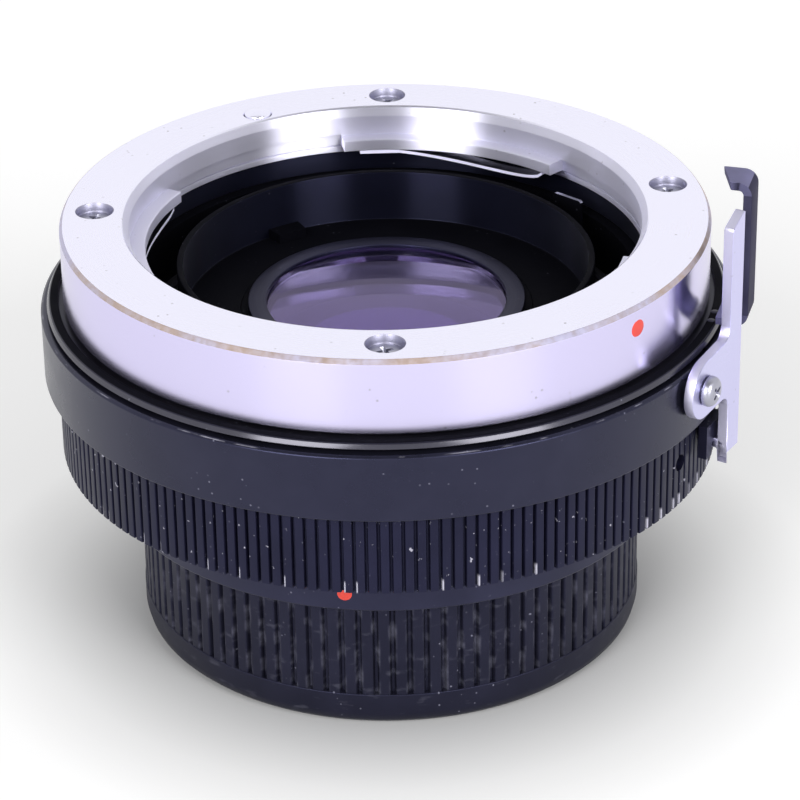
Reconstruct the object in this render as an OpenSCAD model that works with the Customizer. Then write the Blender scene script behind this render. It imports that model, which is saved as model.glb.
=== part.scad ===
// Camera teleconverter standing on its rear cap.
// Origin: optical axis at the cap's resting face. +Z towards the lens, -Y towards the viewer. Units: mm.

/* [Stack] */
// Height of the rear cap
cap_h = 13.4; // [12:0.1:15]
// Height of the smooth rear collar
collar_h = 4.7; // [4.4:0.1:6]
// Height of the ribbed grip ring
grip_h = 7.95; // [7.5:0.05:9]
// Height of the name ring
name_h = 6.4; // [6:0.1:7.5]
// Height between name ring and front flange
shoulder_h = 1.35; // [1.3:0.05:1.8]
// Height of the chrome front flange
flange_h = 6.8; // [6.6:0.1:8]

/* [Radii] */
// Outside radius of the front flange
flange_r = 30; // [28:0.5:33]
// Width of the flange face, from its edge to the register bore
face_w = 5.9; // [5.6:0.1:6.2]
// Reach of the bayonet lips into the throat
lip_reach = 1.45; // [1.3:0.05:1.6]
// How far the name ring stands out beyond the flange
name_step = 2.15; // [2:0.05:2.4]
// Wall of the name ring
name_wall = 2.45; // [2.2:0.05:2.6]
// How far the grip ribs stand out beyond the flange
grip_step = 0.9; // [0.7:0.05:1]
// Wall of the rear cap
cap_wall = 1.4; // [1.3:0.05:1.8]
// Step from the cap out to the rear mount's plate
plate_step = 1.6; // [1.5:0.1:2]
// Wall of the collar round the rear mount's plate
collar_wall = 0.9; // [0.8:0.05:1.2]

/* [Ribs] */
// Number of grip ribs
grip_ribs = 180; // [90:10:200]
// Number of cap ribs
cap_ribs = 96; // [48:6:120]
// Depth of the rib grooves
rib_depth = 0.45; // [0.2:0.05:0.5]

/* [Front mount] */
// Angle of the middle of the first lip
lip_angle = 72; // [68:1:76]
// Width of the first lip; the other two are a little wider
lip_span = 56; // [50:1:60]
// Distance of the flange screws inside the neck's wall
screw_inset = 1.15; // [1.1:0.05:1.3]
// Countersink radius of the flange screws
screw_head_r = 1.6; // [1.4:0.05:1.8]

/* [Release and lock] */
// Angle of the release lever's screw
lever_angle = -32; // [-34:1:-31]
// Thickness of the release lever
lever_t = 0.95; // [0.8:0.05:1]
// Width of the lever's upright strip
strip_w = 2.3; // [2:0.1:2.4]
// Height of the strip above the screw
strip_up = 13.9; // [12:0.1:15]
// Radius of the lock pin
pin_r = 1.3; // [1.2:0.05:1.4]
// Stroke of the lock pin
pin_stroke = 1.15; // [0.9:0.05:1.2]

/* [Aperture coupling] */
// Angle of the hooked lever
hook_angle = -16; // [-16:1:-10]
// Width of the hooked lever
hook_w = 3.4; // [3:0.1:3.5]
// Height of the hook above the flange face
hook_rise = 7; // [5:0.5:9]

/* [Optics] */
// Wall of the lens cell
cell_wall = 1.6; // [1.4:0.1:1.8]
// Clearance of the lenses in the cell
lens_fit = 0.1; // [0.05:0.01:0.15]
// Clearance of screws and seats
seat_gap = 0.03; // [0.02:0.01:0.05]
// Radial clearance of turning pieces
run_gap = 0.05; // [0.03:0.01:0.08]

/* [Hidden] */
$fn = 96;
z_collar = cap_h + 0.4;
z_grip = z_collar + collar_h;
z_name = z_grip + grip_h;
z_name_top = z_name + name_h;
z_flange = z_name_top + shoulder_h;
z_face = z_flange + flange_h;
// front mount, from the flange's edge inwards
register_r = flange_r - face_w;
register_d = 0.8;
ledge_r = register_r - 0.45;
throat_r = ledge_r - lip_reach;
lip_lead = [0, 13, 0];
lip_trail = [0, 0, 7];
claw_r = register_r + 0.2;
bevel = 0.25;
bevel_h = 0.45;
z_lip = z_flange + 2.9;
lip_t = 1.15;
gap_relief = 0.4;
leaf_in_r = throat_r + 0.15;
leaf_out_r = claw_r - 0.15;
leaf_t = 0.3;
leaf_bow = 0.95;
leaf_lead = 3;
leaf_trail = 14;
leaf_seat_span = 10;
shank_r = 0.8;
screw_l = 9.6;
screw_angles = [9.8, 89.1, 178.1, 269.6];
index_r = 0.85;
index_d = 0.4;
index_drop = 2.2;
front_index_angle = -43.3;
// lock pin and lock arc, outside the claw space
pin_wall = 0.3;
pin_pitch_r = claw_r + pin_wall + 1.3;
pin_angle = 118.4;
pin_chamfer = 0.12;
pin_dome = 2.4;
pin_dome_h = 0.45;
stem_r = 0.8;
z_pin_shoulder = z_flange - 1.2;
z_spring_seat = z_flange - 6.7;
lock_in_r = pin_pitch_r + stem_r + 0.25;
lock_t = 1.4;
lock_out_r = lock_in_r + lock_t;
lock_h = 1.6;
lock_from = 110;
lock_to = 342;
z_lock = z_grip + 5.1;
finger_r = 0.4;
finger_gap = 0.3;
z_finger = z_lock - finger_gap - finger_r;
wedge_run = pin_stroke + 0.5;
// barrel
web_t = 1.8;
z_web = z_grip + web_t;
z_step = z_flange - 7.2;
z_shoulder = z_name_top - 0.2;
neck_r = pin_pitch_r + 2.1;
bore_r = claw_r - 1.1;
low_bore_r = bore_r - 0.6;
screw_pitch_r = neck_r - screw_inset;
// name and grip rings
name_r = flange_r + name_step;
name_seat_r = name_r - name_wall;
grip_r = flange_r + grip_step;
grip_seat_r = lock_out_r + 0.35;
grub_r = 0.8;
grub_angles = [-31.8, 60, 150];
z_grub = z_grip + 4.35;
// diaphragm
diaphragm_w = 2.5;
diaphragm_in_r = bore_r - diaphragm_w;
diaphragm_t = 1.4;
z_diaphragm = z_step + 0.2;
diaphragm_swing = 25;
pusher_angle = 35;
pusher_w = 3.6;
pusher_t = 0.6;
pusher_top = 0.8;
tail_angle = 200;
tail_w = 3;
tail_t = 1.2;
peg_r = 0.6;
peg_pitch_r = diaphragm_in_r + 0.8;
anchor_angle = 215;
peg_angle = 250;
z_peg = z_diaphragm - 1.8;
// light baffle
baffle_gap = 1.3;
baffle_wall = 0.6;
baffle_r = diaphragm_in_r - baffle_gap;
baffle_bore_r = baffle_r - baffle_wall;
baffle_top = 0.8;
lug_w = 1.8;
lug_h = 0.9;
lug_from = 117;
lug_to = 127;
// optic cell, inside the diaphragm's tail
tail_out_r = baffle_bore_r - 0.4;
tail_in_r = tail_out_r - tail_t;
cell_flange = 2;
cell_flange_t = 1.5;
cell_r = tail_in_r - 0.6 - cell_flange;
cell_nose_r = cell_r - 1;
cell_bore_r = cell_nose_r - cell_wall;
cell_seat = 1.8;
cell_seat_t = 1.2;
cell_thread = 0.6;
cell_thread_h = 0.8;
lens_r = cell_bore_r - lens_fit;
z_cell = z_collar + 1.7;
z_cell_shoulder = z_flange - 4;
z_cell_nose = z_cell_shoulder + 1;
// rear mount, outside the diaphragm's tail
rear_throat_r = tail_out_r + 0.6;
rear_tube_wall = 1.6;
rear_tube_r = rear_throat_r + rear_tube_wall;
rear_tube_h = 5.6;
rear_claw = 1.4;
rear_claw_r = rear_tube_r + rear_claw;
rear_claw_t = 1.4;
z_rear_claw = z_collar - 4.4;
// cap and collar
cap_gap = 0.4;
cap_bore_r = rear_claw_r + cap_gap;
cap_r = cap_bore_r + cap_wall;
cap_claw_r = rear_tube_r + 0.35;
cap_floor = 1.6;
cap_band = 3.4;
cap_round = 1.5;
// the smooth foot stands a little proud of the ribs
cap_foot_r = cap_r + 0.08;
rear_plate_r = cap_r + plate_step;
rear_plate_t = 2.4;
rear_screw_head_r = 1.15;
rear_screw_l = 8;
rear_screw_r = rear_plate_r - rear_screw_head_r - 0.05;
rear_screw_angles = [40, 130, 220, 310];
collar_r = rear_plate_r + collar_wall;
collar_in_r = rear_throat_r + 0.6;
collar_edge = 0.2;
rear_index_r = 0.7;
rear_index_angle = -99.2;
z_rear_index = z_collar + 1.75;
// release lever
lever_gap = 0.3;
lever_in = name_r + lever_gap;
lever_out = lever_in + lever_t;
lever_z = z_name_top - 1.85;
ear_r = 2.7;
strip_u = 4.4;
tail_down = lever_z - z_lock + 2.3;
foot_l = 1.25;
pivot_r = 1;
screw_in = 3.1;
lever_head_r = 1.4;
lock_head_in = lever_in - 1.2;
lock_head_out = lever_in - 0.35;
cheek_t = 1.05;
// coupling ring
ring_out_r = name_r - 0.55;
z_ring = z_name_top + 0.1;
z_ring_top = z_flange - 0.45;
ring_rivet_r = 0.4;
ring_rivet_in = 0.75;
hook_out = name_r + 2.15;
hook_t = 0.8;
hook_tip = flange_r + 1.3;
hook_foot_r = flange_r + 0.4;
hook_bend = 1.4;
hook_slant = 1.3;
link_t = 1;
link_in_r = neck_r - 0.8;
link_w = 2.4;
link_angle = 18;
link_foot_t = 0.9;
link_rivet_r = name_seat_r - 0.95;
link_down = 3.6;
slot_gap = 0.35;
slot_from = 14;
slot_to = 82.5;

// Places its children at radius r and angle a, with their X pointing outwards.
module at_polar(r, a) {
    rotate([0, 0, a])
        translate([r, 0, 0])
            children();
}

// A plain ring between two radii and two heights.
module tube(r0, r1, z0, z1) {
    rotate_extrude()
        translate([r0, z0])
            square([r1 - r0, z1 - z0]);
}

// Part of such a ring between two angles.
module arc_tube(r0, r1, z0, z1, a0, a1) {
    rotate([0, 0, a0])
        rotate_extrude(angle = a1 - a0)
            translate([r0, z0])
                square([r1 - r0, z1 - z0]);
}

// A block in a radial frame: r outwards, width w across, z upwards.
module radial_block(r0, r1, w, z0, z1, a) {
    rotate([0, 0, a])
        translate([r0, -w / 2, z0])
            cube([r1 - r0, w, z1 - z0]);
}

// A cylinder lying along a radius.
module radial_pin(r, r0, r1, z, a) {
    rotate([0, 0, a])
        translate([r0, 0, z])
            rotate([0, 90, 0])
                cylinder(r = r, h = r1 - r0);
}

// Outline of a ribbed ring: four points for each rib, written by formula.
function rib_outline(n, r, d, share) = [
    for (i = [0 : n - 1], k = [0 : 3])
        let (p = 360 / n, f = [0, share, share + 0.12, 0.88][k], q = k < 2 ? r : r - d)
            [q * cos(p * (i + f)), q * sin(p * (i + f))]
];

// A countersunk screw with its point downwards and its head's rim at z = 0.
module csk_screw(head_r, length) {
    difference() {
        union() {
            translate([0, 0, -0.15 - head_r + shank_r])
                cylinder(r1 = shank_r, r2 = head_r, h = head_r - shank_r);
            translate([0, 0, -0.15])
                cylinder(r = head_r, h = 0.1);
            translate([0, 0, -length])
                cylinder(r = shank_r, h = length - 0.15 - head_r + shank_r);
        }
        for (a = [0, 90])
            rotate([0, 0, a + 20])
                translate([-head_r * 0.55, -0.18, -0.55])
                    cube([head_r * 1.1, 0.36, 1]);
    }
}

// The hole that such a screw leaves.
module csk_hole(head_r, length) {
    translate([0, 0, -0.15 - head_r + shank_r])
        cylinder(r1 = shank_r + seat_gap, r2 = head_r + seat_gap, h = head_r - shank_r);
    translate([0, 0, -0.15])
        cylinder(r = head_r + seat_gap, h = 1);
    translate([0, 0, -length - 0.3])
        cylinder(r = shank_r + seat_gap, h = length);
}

// Triangles of a tube swept through `rings` closed rings of m points each, with both ends shut.
function sweep_faces(rings, m) = concat(
    [for (i = [0 : rings - 2], k = [0 : m - 1])
        [i * m + k, i * m + (k + 1) % m, (i + 1) * m + k]],
    [for (i = [0 : rings - 2], k = [0 : m - 1])
        [i * m + (k + 1) % m, (i + 1) * m + (k + 1) % m, (i + 1) * m + k]],
    [for (k = [1 : m - 2]) [0, k + 1, k]],
    [for (k = [1 : m - 2]) (rings - 1) * m * [1, 1, 1] + [0, k, k + 1]]
);

// A round wire wound on a helix from z = 0 to z = h, centre line of radius r.
module coil(r, wire, h, turns) {
    steps = turns * 10;
    m = 6;
    pts = [
        for (i = [0 : steps], k = [0 : m - 1])
            let (a = 360 * turns * i / steps, b = 360 * k / m, q = r + wire * cos(b))
                [q * cos(a), q * sin(a), wire + (h - 2 * wire) * i / steps + wire * sin(b)]
    ];
    polyhedron(points = pts, faces = sweep_faces(steps + 1, m), convexity = 6);
}

// Frame of the release lever: u along the ring, v up from the screw, w outwards from the axis.
module lever_frame() {
    rotate([0, 0, lever_angle])
        translate([0, 0, lever_z])
            rotate([90, 0, 90])
                children();
}

module barrel() {
    color([0.09, 0.09, 0.1])
    difference() {
        rotate_extrude()
            polygon([
                [bore_r, z_flange], [bore_r, z_step], [low_bore_r, z_step], [low_bore_r, z_web],
                [cell_r + seat_gap, z_web], [cell_r + seat_gap, z_grip], [grip_seat_r, z_grip],
                [grip_seat_r, z_name], [name_seat_r, z_name], [name_seat_r, z_shoulder],
                [neck_r, z_shoulder], [neck_r, z_flange]
            ]);
        arc_tube(lock_in_r, grip_seat_r + 1, z_lock - 0.3, z_lock + lock_h + 0.3,
            lock_from - 4, lock_to + 8);
        arc_tube(link_in_r - slot_gap, link_in_r + link_t + slot_gap, z_grip - 1, z_flange + 1,
            slot_from, slot_to);
        arc_tube(link_in_r - slot_gap, name_seat_r + 1, z_ring - link_foot_t - 0.4, z_flange + 1,
            slot_from, slot_to);
        arc_tube(tail_in_r - 0.3, tail_out_r + 0.55, z_grip - 1, z_web + 1,
            tail_angle - 8, tail_angle + diaphragm_swing + 8);
        for (a = screw_angles)
            at_polar(screw_pitch_r, a)
                translate([0, 0, z_face])
                    csk_hole(screw_head_r, screw_l);
        for (a = rear_screw_angles)
            at_polar(rear_screw_r, a)
                translate([0, 0, z_grip - 1])
                    cylinder(r = shank_r + seat_gap, h = 4.5);
        at_polar(pin_pitch_r, pin_angle) {
            translate([0, 0, z_spring_seat])
                cylinder(r = pin_r + 0.1, h = 20);
            translate([0, 0, z_finger - finger_r - pin_stroke - 1])
                cylinder(r = stem_r + run_gap, h = 20);
        }
        rotate([0, 0, pin_angle])
            translate([pin_pitch_r - 0.6, -wedge_run - 2, z_finger - finger_r - pin_stroke - 0.35])
                cube([5, wedge_run + 3.4, z_lock - z_finger + finger_r + pin_stroke + 0.4]);
        radial_pin(shank_r + seat_gap, name_seat_r - screw_in - 0.2, name_seat_r + 1, lever_z,
            lever_angle);
        at_polar(peg_pitch_r, anchor_angle)
            translate([0, 0, z_grip - 1])
                cylinder(r = peg_r + seat_gap, h = 4);
    }
}

module name_ring() {
    color([0.07, 0.07, 0.08])
    difference() {
        rotate_extrude()
            polygon([
                [name_seat_r + seat_gap, z_name], [name_r, z_name], [name_r, z_name_top - 0.2],
                [name_r - 0.25, z_name_top], [name_seat_r + seat_gap, z_name_top]
            ]);
        radial_pin(pivot_r + run_gap, name_seat_r - 1, name_r + 1, lever_z, lever_angle);
    }
}

module grip_ring() {
    color([0.08, 0.08, 0.1])
    difference() {
        translate([0, 0, z_grip])
            linear_extrude(grip_h)
                difference() {
                    polygon(rib_outline(grip_ribs, grip_r, rib_depth, 0.62));
                    circle(r = grip_seat_r + seat_gap);
                }
        for (a = grub_angles)
            radial_pin(grub_r, grip_seat_r, grip_r + 1, z_grub, a);
        // the window for the lock arc's head
        lever_frame()
            translate([strip_u - 0.4, z_lock - 0.35 - lever_z, grip_seat_r - 4])
                cube([strip_w + 2.4, lock_h + 0.7, 8]);
    }
}

module grub_screws() {
    color([0.12, 0.12, 0.13])
    for (a = grub_angles)
        difference() {
            radial_pin(grub_r - seat_gap, grip_seat_r, grip_r - rib_depth - 0.3, z_grub, a);
            rotate([0, 0, a])
                translate([grip_r - rib_depth - 0.9, -grub_r, z_grub - 0.1])
                    cube([1, 2 * grub_r, 0.2]);
        }
}

// Start and end of lip k, seen from the front.
function lip_from(k) = lip_angle - lip_span / 2 + 120 * k - lip_lead[k % 3];
function lip_to(k) = lip_angle + lip_span / 2 + 120 * k + lip_trail[k % 3];

module front_mount() {
    color([0.85, 0.84, 0.88])
    difference() {
        rotate_extrude()
            polygon([
                [claw_r, z_flange], [flange_r, z_flange], [flange_r, z_face - bevel_h],
                [flange_r - bevel, z_face], [register_r, z_face], [ledge_r, z_face - register_d],
                [ledge_r, z_lip + lip_t], [throat_r, z_lip + lip_t], [throat_r, z_lip], [claw_r, z_lip]
            ]);
        // the gaps between the lips, where the claws of a lens go in
        for (k = [0 : 2])
            arc_tube(throat_r - 1, ledge_r + gap_relief, z_lip - 1, z_lip + lip_t + 0.1,
                lip_to(k), lip_from(k + 1));
        for (a = screw_angles)
            at_polar(screw_pitch_r, a)
                translate([0, 0, z_face])
                    csk_hole(screw_head_r, screw_l);
        at_polar(pin_pitch_r, pin_angle) {
            translate([0, 0, z_flange - 1])
                cylinder(r = pin_r + run_gap, h = 20);
            translate([0, 0, z_face - pin_chamfer])
                cylinder(r1 = pin_r + run_gap, r2 = pin_r + run_gap + 2 * pin_chamfer, h = 2 * pin_chamfer);
        }
        radial_pin(index_r, flange_r - index_d, flange_r + 1, z_face - index_drop, front_index_angle);
    }
}

module front_screws() {
    color([0.75, 0.75, 0.8])
    for (a = screw_angles)
        at_polar(screw_pitch_r, a)
            translate([0, 0, z_face])
                csk_screw(screw_head_r, screw_l);
}

// One bowed leaf under a lip: it dips away from the lip and ends in a flat seat against it.
module bowed_leaf(a0, a1) {
    n = 30;
    bow = [
        for (i = [0 : n])
            [a0 + (a1 - a0) * i / n, z_lip - leaf_t - 0.05 - leaf_bow * sin(180 * pow(i / n, 0.59)), leaf_t]
    ];
    seat = [
        [a1 + 0.3, z_lip - leaf_t - 0.05, leaf_t + 0.05],
        [a1 + leaf_seat_span, z_lip - leaf_t - 0.05, leaf_t + 0.05]
    ];
    stations = concat(bow, seat);
    pts = [
        for (p = stations)
            for (c = [[leaf_in_r, 0], [leaf_out_r, 0], [leaf_out_r, p[2]], [leaf_in_r, p[2]]])
                [c[0] * cos(p[0]), c[0] * sin(p[0]), p[1] + c[1]]
    ];
    polyhedron(points = pts, faces = sweep_faces(len(stations), 4), convexity = 4);
}

module bayonet_springs() {
    color([0.8, 0.8, 0.82])
    for (k = [0 : 2])
        bowed_leaf(lip_from(k) + leaf_lead, lip_to(k) - leaf_trail);
}

module front_index() {
    color([0.85, 0.13, 0.08])
    intersection() {
        tube(flange_r - index_d, flange_r, z_flange, z_face);
        radial_pin(index_r - seat_gap, flange_r - 1, flange_r + 1, z_face - index_drop, front_index_angle);
    }
}

module rear_collar() {
    color([0.08, 0.08, 0.1])
    difference() {
        rotate_extrude()
            polygon([
                [collar_in_r, z_collar + rear_plate_t], [rear_plate_r + seat_gap, z_collar + rear_plate_t],
                [rear_plate_r + seat_gap, z_collar], [collar_r - collar_edge, z_collar],
                [collar_r, z_collar + collar_edge], [collar_r, z_grip], [collar_in_r, z_grip]
            ]);
        for (a = rear_screw_angles)
            at_polar(rear_screw_r, a)
                translate([0, 0, z_collar])
                    cylinder(r = shank_r + seat_gap, h = 10);
        radial_pin(rear_index_r, collar_r - index_d, collar_r + 1, z_rear_index, rear_index_angle);
    }
}

module rear_mount() {
    color([0.82, 0.82, 0.85])
    difference() {
        union() {
            tube(rear_throat_r, rear_plate_r, z_collar, z_collar + rear_plate_t);
            tube(rear_throat_r, rear_tube_r, z_collar - rear_tube_h, z_collar + 0.5);
            for (k = [0 : 2])
                arc_tube(rear_tube_r - 0.3, rear_claw_r, z_rear_claw, z_rear_claw + rear_claw_t,
                    8 + 120 * k, 62 + 120 * k);
        }
        for (a = rear_screw_angles)
            at_polar(rear_screw_r, a)
                translate([0, 0, z_collar])
                    mirror([0, 0, 1])
                        csk_hole(rear_screw_head_r, rear_screw_l);
    }
}

module rear_screws() {
    color([0.75, 0.75, 0.8])
    for (a = rear_screw_angles)
        at_polar(rear_screw_r, a)
            translate([0, 0, z_collar])
                mirror([0, 0, 1])
                    csk_screw(rear_screw_head_r, rear_screw_l);
}

module rear_index() {
    color([0.85, 0.13, 0.08])
    intersection() {
        tube(collar_r - index_d, collar_r, z_collar, z_grip);
        radial_pin(rear_index_r - seat_gap, collar_r - 1, collar_r + 1, z_rear_index, rear_index_angle);
    }
}

module light_baffle() {
    color([0.03, 0.03, 0.035])
    union() {
        rotate_extrude()
            polygon([
                [cell_nose_r + seat_gap, z_cell_shoulder], [baffle_r, z_cell_shoulder],
                [baffle_r, z_lip - baffle_top], [baffle_bore_r, z_lip - baffle_top],
                [baffle_bore_r, z_cell_nose], [cell_nose_r + seat_gap, z_cell_nose]
            ]);
        // the low lug on the floor, against the wall
        arc_tube(baffle_bore_r - lug_w, baffle_bore_r + baffle_wall / 2, z_cell_nose - 0.3, z_cell_nose + lug_h,
            lug_from, lug_to);
    }
}

module optic_cell() {
    color([0.06, 0.06, 0.07])
    rotate_extrude()
        polygon([
            [cell_bore_r - cell_seat, z_cell], [cell_r, z_cell], [cell_r, z_web],
            [cell_r + cell_flange, z_web], [cell_r + cell_flange, z_web + cell_flange_t],
            [cell_r, z_web + cell_flange_t], [cell_r, z_cell_shoulder], [cell_nose_r, z_cell_shoulder],
            [cell_nose_r, z_cell_nose], [cell_bore_r + cell_thread, z_cell_nose],
            [cell_bore_r + cell_thread, z_cell_nose - cell_thread_h],
            [cell_bore_r, z_cell_nose - cell_thread_h],
            [cell_bore_r, z_cell + cell_seat_t], [cell_bore_r - cell_seat, z_cell + cell_seat_t]
        ]);
}

module cell_lock_ring() {
    color([0.1, 0.1, 0.11])
    difference() {
        tube(cell_r + seat_gap, cell_r + cell_flange, z_grip - cell_flange_t, z_grip);
        for (a = [0, 90])
            rotate([0, 0, a])
                translate([-cell_r * 2, -0.6, z_grip - 2])
                    cube([cell_r * 4, 1.2, 1.1]);
    }
}

// Heights of the lens stack, from the rear seat of the cell upwards.
rear_lens_h = 3;
spacer_b_h = 2.2;
pair_low_h = 2.2;
pair_top_h = 2;
front_lens_h = 1.8;
front_sag = 0.55;
spacer_wall = 0.9;
retainer_lip = 0.7;
retainer_h = 0.9;
z_rear_lens = z_cell + cell_seat_t;
z_spacer_b = z_rear_lens + rear_lens_h;
z_pair = z_spacer_b + spacer_b_h;
z_spacer_a = z_pair + pair_low_h + pair_top_h;
z_front_lens = z_cell_nose + 0.45 - front_lens_h;

// Ball radius of a cap of height s on a disc of radius r.
function ball(r, s) = (r * r + s * s) / (2 * s);

// Height of the front lens's dome at radius r.
function dome_z(r) = let (b = ball(lens_r, front_sag))
    z_front_lens + front_lens_h + front_sag - b + sqrt(b * b - r * r);

module front_retainer() {
    color([0.3, 0.3, 0.34])
    rotate_extrude()
        polygon([
            [lens_r - retainer_lip, dome_z(lens_r - retainer_lip) + seat_gap],
            [cell_bore_r, dome_z(lens_r - retainer_lip) + seat_gap],
            [cell_bore_r, z_cell_nose - cell_thread_h + 0.05],
            [cell_bore_r + cell_thread - seat_gap, z_cell_nose - cell_thread_h + 0.05],
            [cell_bore_r + cell_thread - seat_gap, z_cell_nose], [cell_nose_r - 0.65, z_cell_nose],
            [cell_nose_r - 0.65, z_cell_nose + retainer_h], [lens_r - retainer_lip, z_cell_nose + retainer_h]
        ]);
}

// A lens blank: a disc whose top and bottom are cut by balls (convex) or hollowed by balls (concave).
module lens(z0, h, r, top_ball, top_sag, low_ball, low_sag) {
    difference() {
        intersection() {
            translate([0, 0, z0 - 2])
                cylinder(r = r, h = h + 6);
            union() {
                translate([0, 0, z0])
                    cylinder(r = r, h = h);
                if (top_sag > 0)
                    intersection() {
                        translate([0, 0, z0 + h / 2])
                            cylinder(r = r, h = h / 2 + top_sag + 1);
                        translate([0, 0, z0 + h + top_sag - top_ball])
                            sphere(r = top_ball);
                    }
            }
        }
        if (top_sag < 0)
            translate([0, 0, z0 + h + top_sag + top_ball])
                sphere(r = top_ball);
        if (low_sag > 0)
            translate([0, 0, z0 + low_sag - low_ball])
                sphere(r = low_ball);
    }
}

module front_lens() {
    color([0.55, 0.5, 0.7, 0.35])
    lens(z_front_lens, front_lens_h, lens_r, ball(lens_r, front_sag), front_sag, ball(lens_r, 1.2), 0.4);
}

module lens_spacer_a() {
    color([0.1, 0.1, 0.11])
    tube(lens_r - spacer_wall, cell_bore_r - seat_gap, z_spacer_a, z_front_lens);
}

module pair_lens_a() {
    color([0.6, 0.62, 0.7, 0.35])
    lens(z_pair + pair_low_h, pair_top_h, lens_r, ball(lens_r, 2.4), -0.9, 1, 0);
}

module pair_lens_b() {
    color([0.6, 0.62, 0.7, 0.35])
    lens(z_pair, pair_low_h, lens_r, 1, 0, ball(lens_r, 1.6), 0.8);
}

module lens_spacer_b() {
    color([0.1, 0.1, 0.11])
    tube(lens_r - spacer_wall, cell_bore_r - seat_gap, z_spacer_b, z_pair);
}

module rear_lens() {
    color([0.6, 0.62, 0.7, 0.35])
    lens(z_rear_lens, rear_lens_h, lens_r, ball(lens_r, 2.8), -1.1, ball(lens_r, 1.4), 0.6);
}

module release_screw() {
    color([0.78, 0.78, 0.82])
    lever_frame()
        difference() {
            union() {
                translate([0, 0, name_seat_r - screw_in])
                    cylinder(r = shank_r, h = screw_in + 0.5);
                translate([0, 0, name_seat_r])
                    cylinder(r = pivot_r, h = lever_out + 0.1 - name_seat_r);
                translate([0, 0, lever_out + 0.1])
                    cylinder(r = lever_head_r, h = 0.6);
                translate([0, 0, lever_out + 0.7])
                    cylinder(r1 = lever_head_r, r2 = lever_head_r - 0.45, h = 0.35);
            }
            for (a = [45, 135])
                rotate([0, 0, a])
                    translate([-0.8, -0.17, lever_out + 0.5])
                        cube([1.6, 0.34, 1]);
        }
}

module spring_anchor() {
    color([0.7, 0.68, 0.6])
    at_polar(peg_pitch_r, anchor_angle)
        translate([0, 0, z_grip])
            cylinder(r = peg_r, h = z_peg - 0.2 - z_grip);
}

module snap_ring() {
    color([0.5, 0.5, 0.52])
    arc_tube(bore_r - 0.7, bore_r - seat_gap, z_diaphragm + diaphragm_t + 0.2, z_diaphragm + diaphragm_t + 0.7,
        240, 570);
}

module coupling_ring() {
    color([0.05, 0.05, 0.06])
    difference() {
        rotate_extrude()
            polygon([
                [neck_r + run_gap, z_ring], [name_seat_r - 0.3, z_ring], [name_seat_r - 0.3, z_ring + 0.2],
                [ring_out_r - 0.15, z_ring + 0.2], [ring_out_r, z_ring + 0.35],
                [ring_out_r - 0.06, z_ring + 0.55], [ring_out_r - 0.3, z_ring_top - 0.06],
                [ring_out_r - 0.6, z_ring_top], [neck_r + run_gap, z_ring_top]
            ]);
        for (u = [-0.9, 0.9])
            rotate([0, 0, hook_angle])
                translate([ring_out_r - ring_rivet_in, u, z_ring - 1])
                    cylinder(r = ring_rivet_r + seat_gap, h = 4);
        at_polar(link_rivet_r, link_angle)
            translate([0, 0, z_ring - 1])
                cylinder(r = ring_rivet_r + seat_gap, h = 4);
    }
}

// Side outline of the hooked lever in the radial plane, with rounded bends.
hook_top = z_face + hook_rise;
hook_inside = hook_t * tan(22.5);
function arc_pts(cx, cz, r, a0, a1) = [
    for (i = [0 : 6])
        let (a = a0 + (a1 - a0) * i / 6)
            [cx + r * cos(a), cz + r * sin(a)]
];
hook_side = concat(
    [[hook_foot_r, z_ring_top], [hook_out - hook_slant, z_ring_top], [hook_out, z_ring_top + hook_slant]],
    arc_pts(hook_out - hook_bend, hook_top - hook_bend, hook_bend, 0, 90),
    [[hook_tip, hook_top], [hook_tip, hook_top - hook_t]],
    arc_pts(hook_out - hook_bend, hook_top - hook_bend, hook_bend - hook_t, 90, 0),
    [
        [hook_out - hook_t, z_ring_top + hook_slant + hook_inside],
        [hook_out - hook_slant - hook_inside, z_ring_top + hook_t], [hook_foot_r, z_ring_top + hook_t]
    ]
);

module hook_lever() {
    color([0.06, 0.06, 0.07])
    rotate([0, 0, hook_angle])
        difference() {
            translate([0, hook_w / 2, 0])
                rotate([90, 0, 0])
                    linear_extrude(hook_w)
                        polygon(hook_side);
            translate([hook_tip, -hook_w / 2, hook_top - 2])
                rotate([0, 0, 14])
                    translate([-4, -5, 0])
                        cube([4.8, 12, 4]);
            for (u = [-0.9, 0.9])
                translate([ring_out_r - ring_rivet_in, u, z_ring_top - 1])
                    cylinder(r = ring_rivet_r + seat_gap, h = 4);
        }
}

module coupling_rivets() {
    color([0.1, 0.1, 0.11])
    union() {
        for (u = [-0.9, 0.9])
            rotate([0, 0, hook_angle])
                translate([ring_out_r - ring_rivet_in, u, 0]) {
                    translate([0, 0, z_ring + 0.2])
                        cylinder(r = ring_rivet_r, h = z_ring_top + hook_t - z_ring - 0.2);
                    translate([0, 0, z_ring_top + hook_t])
                        cylinder(r = ring_rivet_r + 0.18, h = 0.25);
                }
        at_polar(link_rivet_r, link_angle)
            translate([0, 0, z_ring - link_foot_t])
                cylinder(r = ring_rivet_r, h = z_ring_top - z_ring + link_foot_t);
    }
}

module coupling_link() {
    color([0.55, 0.5, 0.35])
    difference() {
        union() {
            radial_block(link_in_r, link_in_r + link_t, link_w, z_grip - link_down, z_ring, link_angle);
            radial_block(link_in_r + link_t / 2, name_seat_r - 0.4, link_w, z_ring - link_foot_t, z_ring,
                link_angle);
        }
        at_polar(link_rivet_r, link_angle)
            translate([0, 0, z_ring - 2])
                cylinder(r = ring_rivet_r + seat_gap, h = 4);
    }
}

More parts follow.
